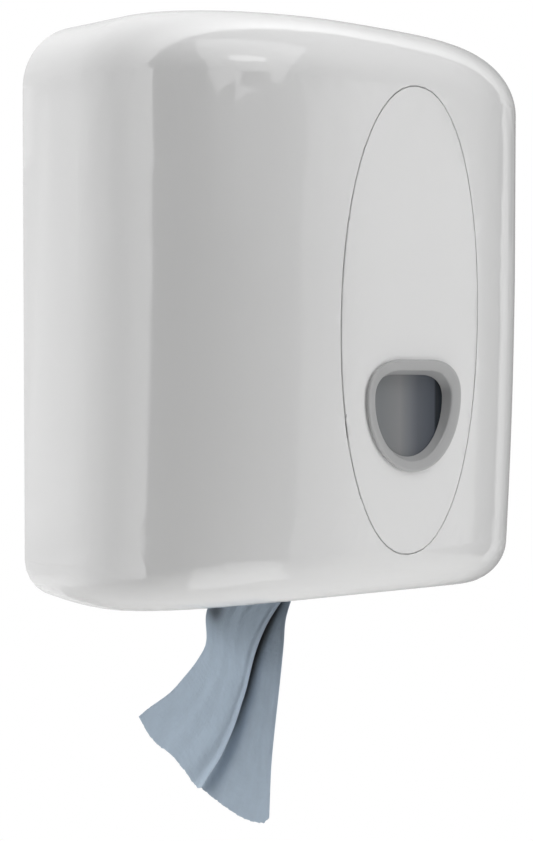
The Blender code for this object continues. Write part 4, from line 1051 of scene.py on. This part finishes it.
# %% The tail's folds
FOLD_LINE = (
    (0, 0.97), (0.20, 0.835), (0.33, 0.72), (0.48, 0.625), (0.60, 0.58), (0.73, 0.555),
    (0.83, 0.525), (1, 0.48),
)
FOLD_RIGHTMOST = 0.97
FOLD_DEPTH, FOLD_EASES, FOLD_SHIFT = 0.011, 0.6, 0.01
FOLD_STEEP, FOLD_GENTLE = 0.020, 0.060
CREST_HEIGHT, CREST_BESIDE, CREST_WIDTH = 0.0018, 0.06, 0.04
LEFT_TILT = 0.011
RIGHT_TILT, RIGHT_TILT_EASES = 0.012, 0.4
OPENED_AT = 0.45
PLEAT_DEPTH, PLEATS_EASE, PLEATS_OPENED_AT = 0.00018, 0.55, 0.15
WAVES = [(rng.uniform(5, 19), rng.uniform(0, math.tau), rng.uniform(0.3, 1)) for _ in range(7)]


def fold_at(down):
    """Where the deep fold lies across the sheet; it runs from the right to the left."""
    return min(FOLD_RIGHTMOST, curve_through(FOLD_LINE, down))


def tail_relief(across, down):
    """How far a point of the sheet stands out towards the viewer."""
    fold = fold_at(down)
    left_share = max(0.0, 1 - across / fold)
    right_share = max(0.0, (across - fold) / (1 - fold))
    flank = FOLD_STEEP if across < fold else FOLD_GENTLE
    depth = LEFT_TILT * left_share + RIGHT_TILT * right_share * (1 - RIGHT_TILT_EASES * down)
    depth += CREST_HEIGHT * hump(across - fold + CREST_BESIDE, CREST_WIDTH)
    depth -= FOLD_DEPTH * hump(across - fold - FOLD_SHIFT, flank) * (1 - FOLD_EASES * down)
    depth *= eased(down, length=OPENED_AT)
    pleats = sum(h * math.sin(across * n * math.pi + p) for n, p, h in WAVES)
    settled = (1 - PLEATS_EASE * down) * eased(down, length=PLEATS_OPENED_AT)
    return depth + PLEAT_DEPTH * pleats * settled


print("the fold is", round(-tail_relief(fold_at(0.5), 0.5) * 1000, 1), "mm deep half way down")

# %% [markdown]
# ## Painted shade of the tail
# The fold is so deep that hardly any light gets to its bottom, and so is a small pucker at
# the upper left, while the top of the sheet lies in the shadow of the cover. This shade is
# painted: a value at each point holds how much of it the point has, and the paper's material reads
# it.

# %% The tail's painted shade
FOLD_SHADE_FROM, FOLD_SHADE_GROWS = 0.10, 0.15
FOLD_SHADE_WANES_FROM, FOLD_SHADE_WANES_OVER, FOLD_SHADE_WANES_BY = 0.42, 0.42, 0.72
FOLD_SHADE_SHIFT, FOLD_SHADE_STEEP, FOLD_SHADE_GENTLE = 0.010, 0.020, 0.050
PUCKER_ACROSS, PUCKER_WIDTH = 0.08, 0.11
PUCKER_DOWN, PUCKER_HEIGHT = 0.29, 0.055
PUCKER_SHADE = 0.6
COVER_SHADOW, SHADOW_ENDS, SHADOW_FADES = 0.30, 0.50, 0.25


def tail_painted_shade(across, down):
    """How much shade is painted on the sheet: in the deep fold, in the pucker at its upper left
    and on top under the cover.
    """
    waned = 1 - FOLD_SHADE_WANES_BY * eased(down, FOLD_SHADE_WANES_FROM, FOLD_SHADE_WANES_OVER)
    along_fold = eased(down, FOLD_SHADE_FROM, FOLD_SHADE_GROWS) * waned
    offset = across - fold_at(down) - FOLD_SHADE_SHIFT
    flank = FOLD_SHADE_STEEP if offset < 0 else FOLD_SHADE_GENTLE
    pucker = hump(across - PUCKER_ACROSS, PUCKER_WIDTH) * hump(down - PUCKER_DOWN, PUCKER_HEIGHT)
    painted_cover_shadow = COVER_SHADOW * eased(SHADOW_ENDS - down, length=SHADOW_FADES)
    dark = along_fold * hump(offset, flank) + PUCKER_SHADE * pucker + painted_cover_shadow
    return min(1.0, dark)


print("crease at the fold", round(tail_painted_shade(fold_at(0.3), 0.3), 2))

# %% Make the tail
TAIL_ACROSS, TAIL_DOWN = 200, 150
PAPER_THICKNESS = 0.0004
swing = Vector((-math.cos(TAIL_SWING), math.sin(TAIL_SWING), 0))
outward = Vector((-math.sin(TAIL_SWING), -math.cos(TAIL_SWING), 0))


def tail_point(across, down):
    """Where a point of the sheet hangs."""
    reach, drop = tail_outline(across, down)
    depth = tail_relief(across, down)
    return TAIL_TOP + swing * reach + outward * depth - Vector((0, 0, drop))


tail = sheet_grid("torn_tail", TAIL_ACROSS, TAIL_DOWN, tail_point)
# Each point keeps its painted shade, which the paper's material reads to darken its colour.
painted_shade = tail.data.attributes.new("painted_shade", "FLOAT", "POINT")
for face in tail.data.polygons:
    for loop in face.loop_indices:
        spot = tail.data.loops[loop].vertex_index
        share = tail.data.uv_layers.active.data[loop].uv
        painted_shade.data[spot].value = tail_painted_shade(share.x, 1 - share.y)
scale_uv(tail, SHEET_WIDTH, TAIL_LENGTH)
ply = tail.modifiers.new("ply", "SOLIDIFY")
ply.thickness = PAPER_THICKNESS
ply.offset = 0
apply_all(tail)
smooth(tail, degrees=60)
dress(tail, paper, "wall_unit", "paper_tail")

# %% [markdown]
# ## Strand
# Inside, the sheet is drawn from the wall of the roll's core to the nozzle. It is pleated
# all round and twisted, loose above the shelf and squeezed where the funnel narrows. It
# could be a plain cord, but the pleats show that it is a sheet, so a grid is rolled up
# and its radius rises and falls with each pleat.

# %% The strand
FEED_TOP_Z = -0.042
SHELF_Z = -0.112
FUNNEL_Z = -0.1335
STAR_Z = -0.1435
CORE_GAP = 0.0003
STRAND_ROOM = 0.0122
SWAY_HEIGHT = 0.070
SQUEEZED_RADIUS, LOOSE_RADIUS = 0.0051, 0.0115
STRAND_TWIST = math.radians(200)
PLEATS = 15
VALLEY, RIDGE_ABOVE_VALLEY = 0.34, 0.66
RUFFLE, RUFFLES_AROUND, RUFFLES_DOWN = 0.04, 7, 5
STRAND_ACROSS, STRAND_DOWN = PLEATS * 12, 60
STRAND_UV_LENGTH = 0.1
feed_start_x = ROLL_CORE - CORE_GAP - STRAND_ROOM


def strand_point(around, down):
    """Where a point of the pleated strand lies, from the core's wall down to the star."""
    z = FEED_TOP_Z + (STAR_Z - FEED_TOP_Z) * down
    loose = clamped((z - FUNNEL_Z) / (SHELF_Z - FUNNEL_Z))
    high = max(0.0, (z - SHELF_Z) / SWAY_HEIGHT)
    centre_x = feed_start_x * math.sin(high * math.pi / 2) ** 2
    radius = SQUEEZED_RADIUS + (LOOSE_RADIUS - SQUEEZED_RADIUS) * eased(loose)
    turn = around * math.tau + STRAND_TWIST * down
    pleat = abs(((around * PLEATS) % 1) * 2 - 1)
    ruffle = RUFFLE * math.sin(RUFFLES_AROUND * around * math.tau + RUFFLES_DOWN * down)
    out = radius * min(1.0, VALLEY + RIDGE_ABOVE_VALLEY * eased(pleat) + ruffle)
    return Vector((centre_x + out * math.cos(turn), ROLL_Y + out * math.sin(turn), z))


strand = sheet_grid("gathered_strand", STRAND_ACROSS, STRAND_DOWN, strand_point)
scale_uv(strand, SHEET_WIDTH, STRAND_UV_LENGTH)
smooth(strand, degrees=60)
dress(strand, paper, "wall_unit", "paper_feed")
strand_area = sum(face.area for face in strand.data.polygons)
print("strand", round(strand_area * 1e4, 1), "square cm")

# %% [markdown]
# ## Floor finish
# The floor is a pale matte sweep.

# %% Floor finish
floor_paint = finish(
    "pale_floor", (0.80, 0.80, 0.79), roughness=0.7, effect=grain_group, bump=0.0002,
    vary=0.01, rough_vary=0.05,
)
floor.data.materials.append(floor_paint)
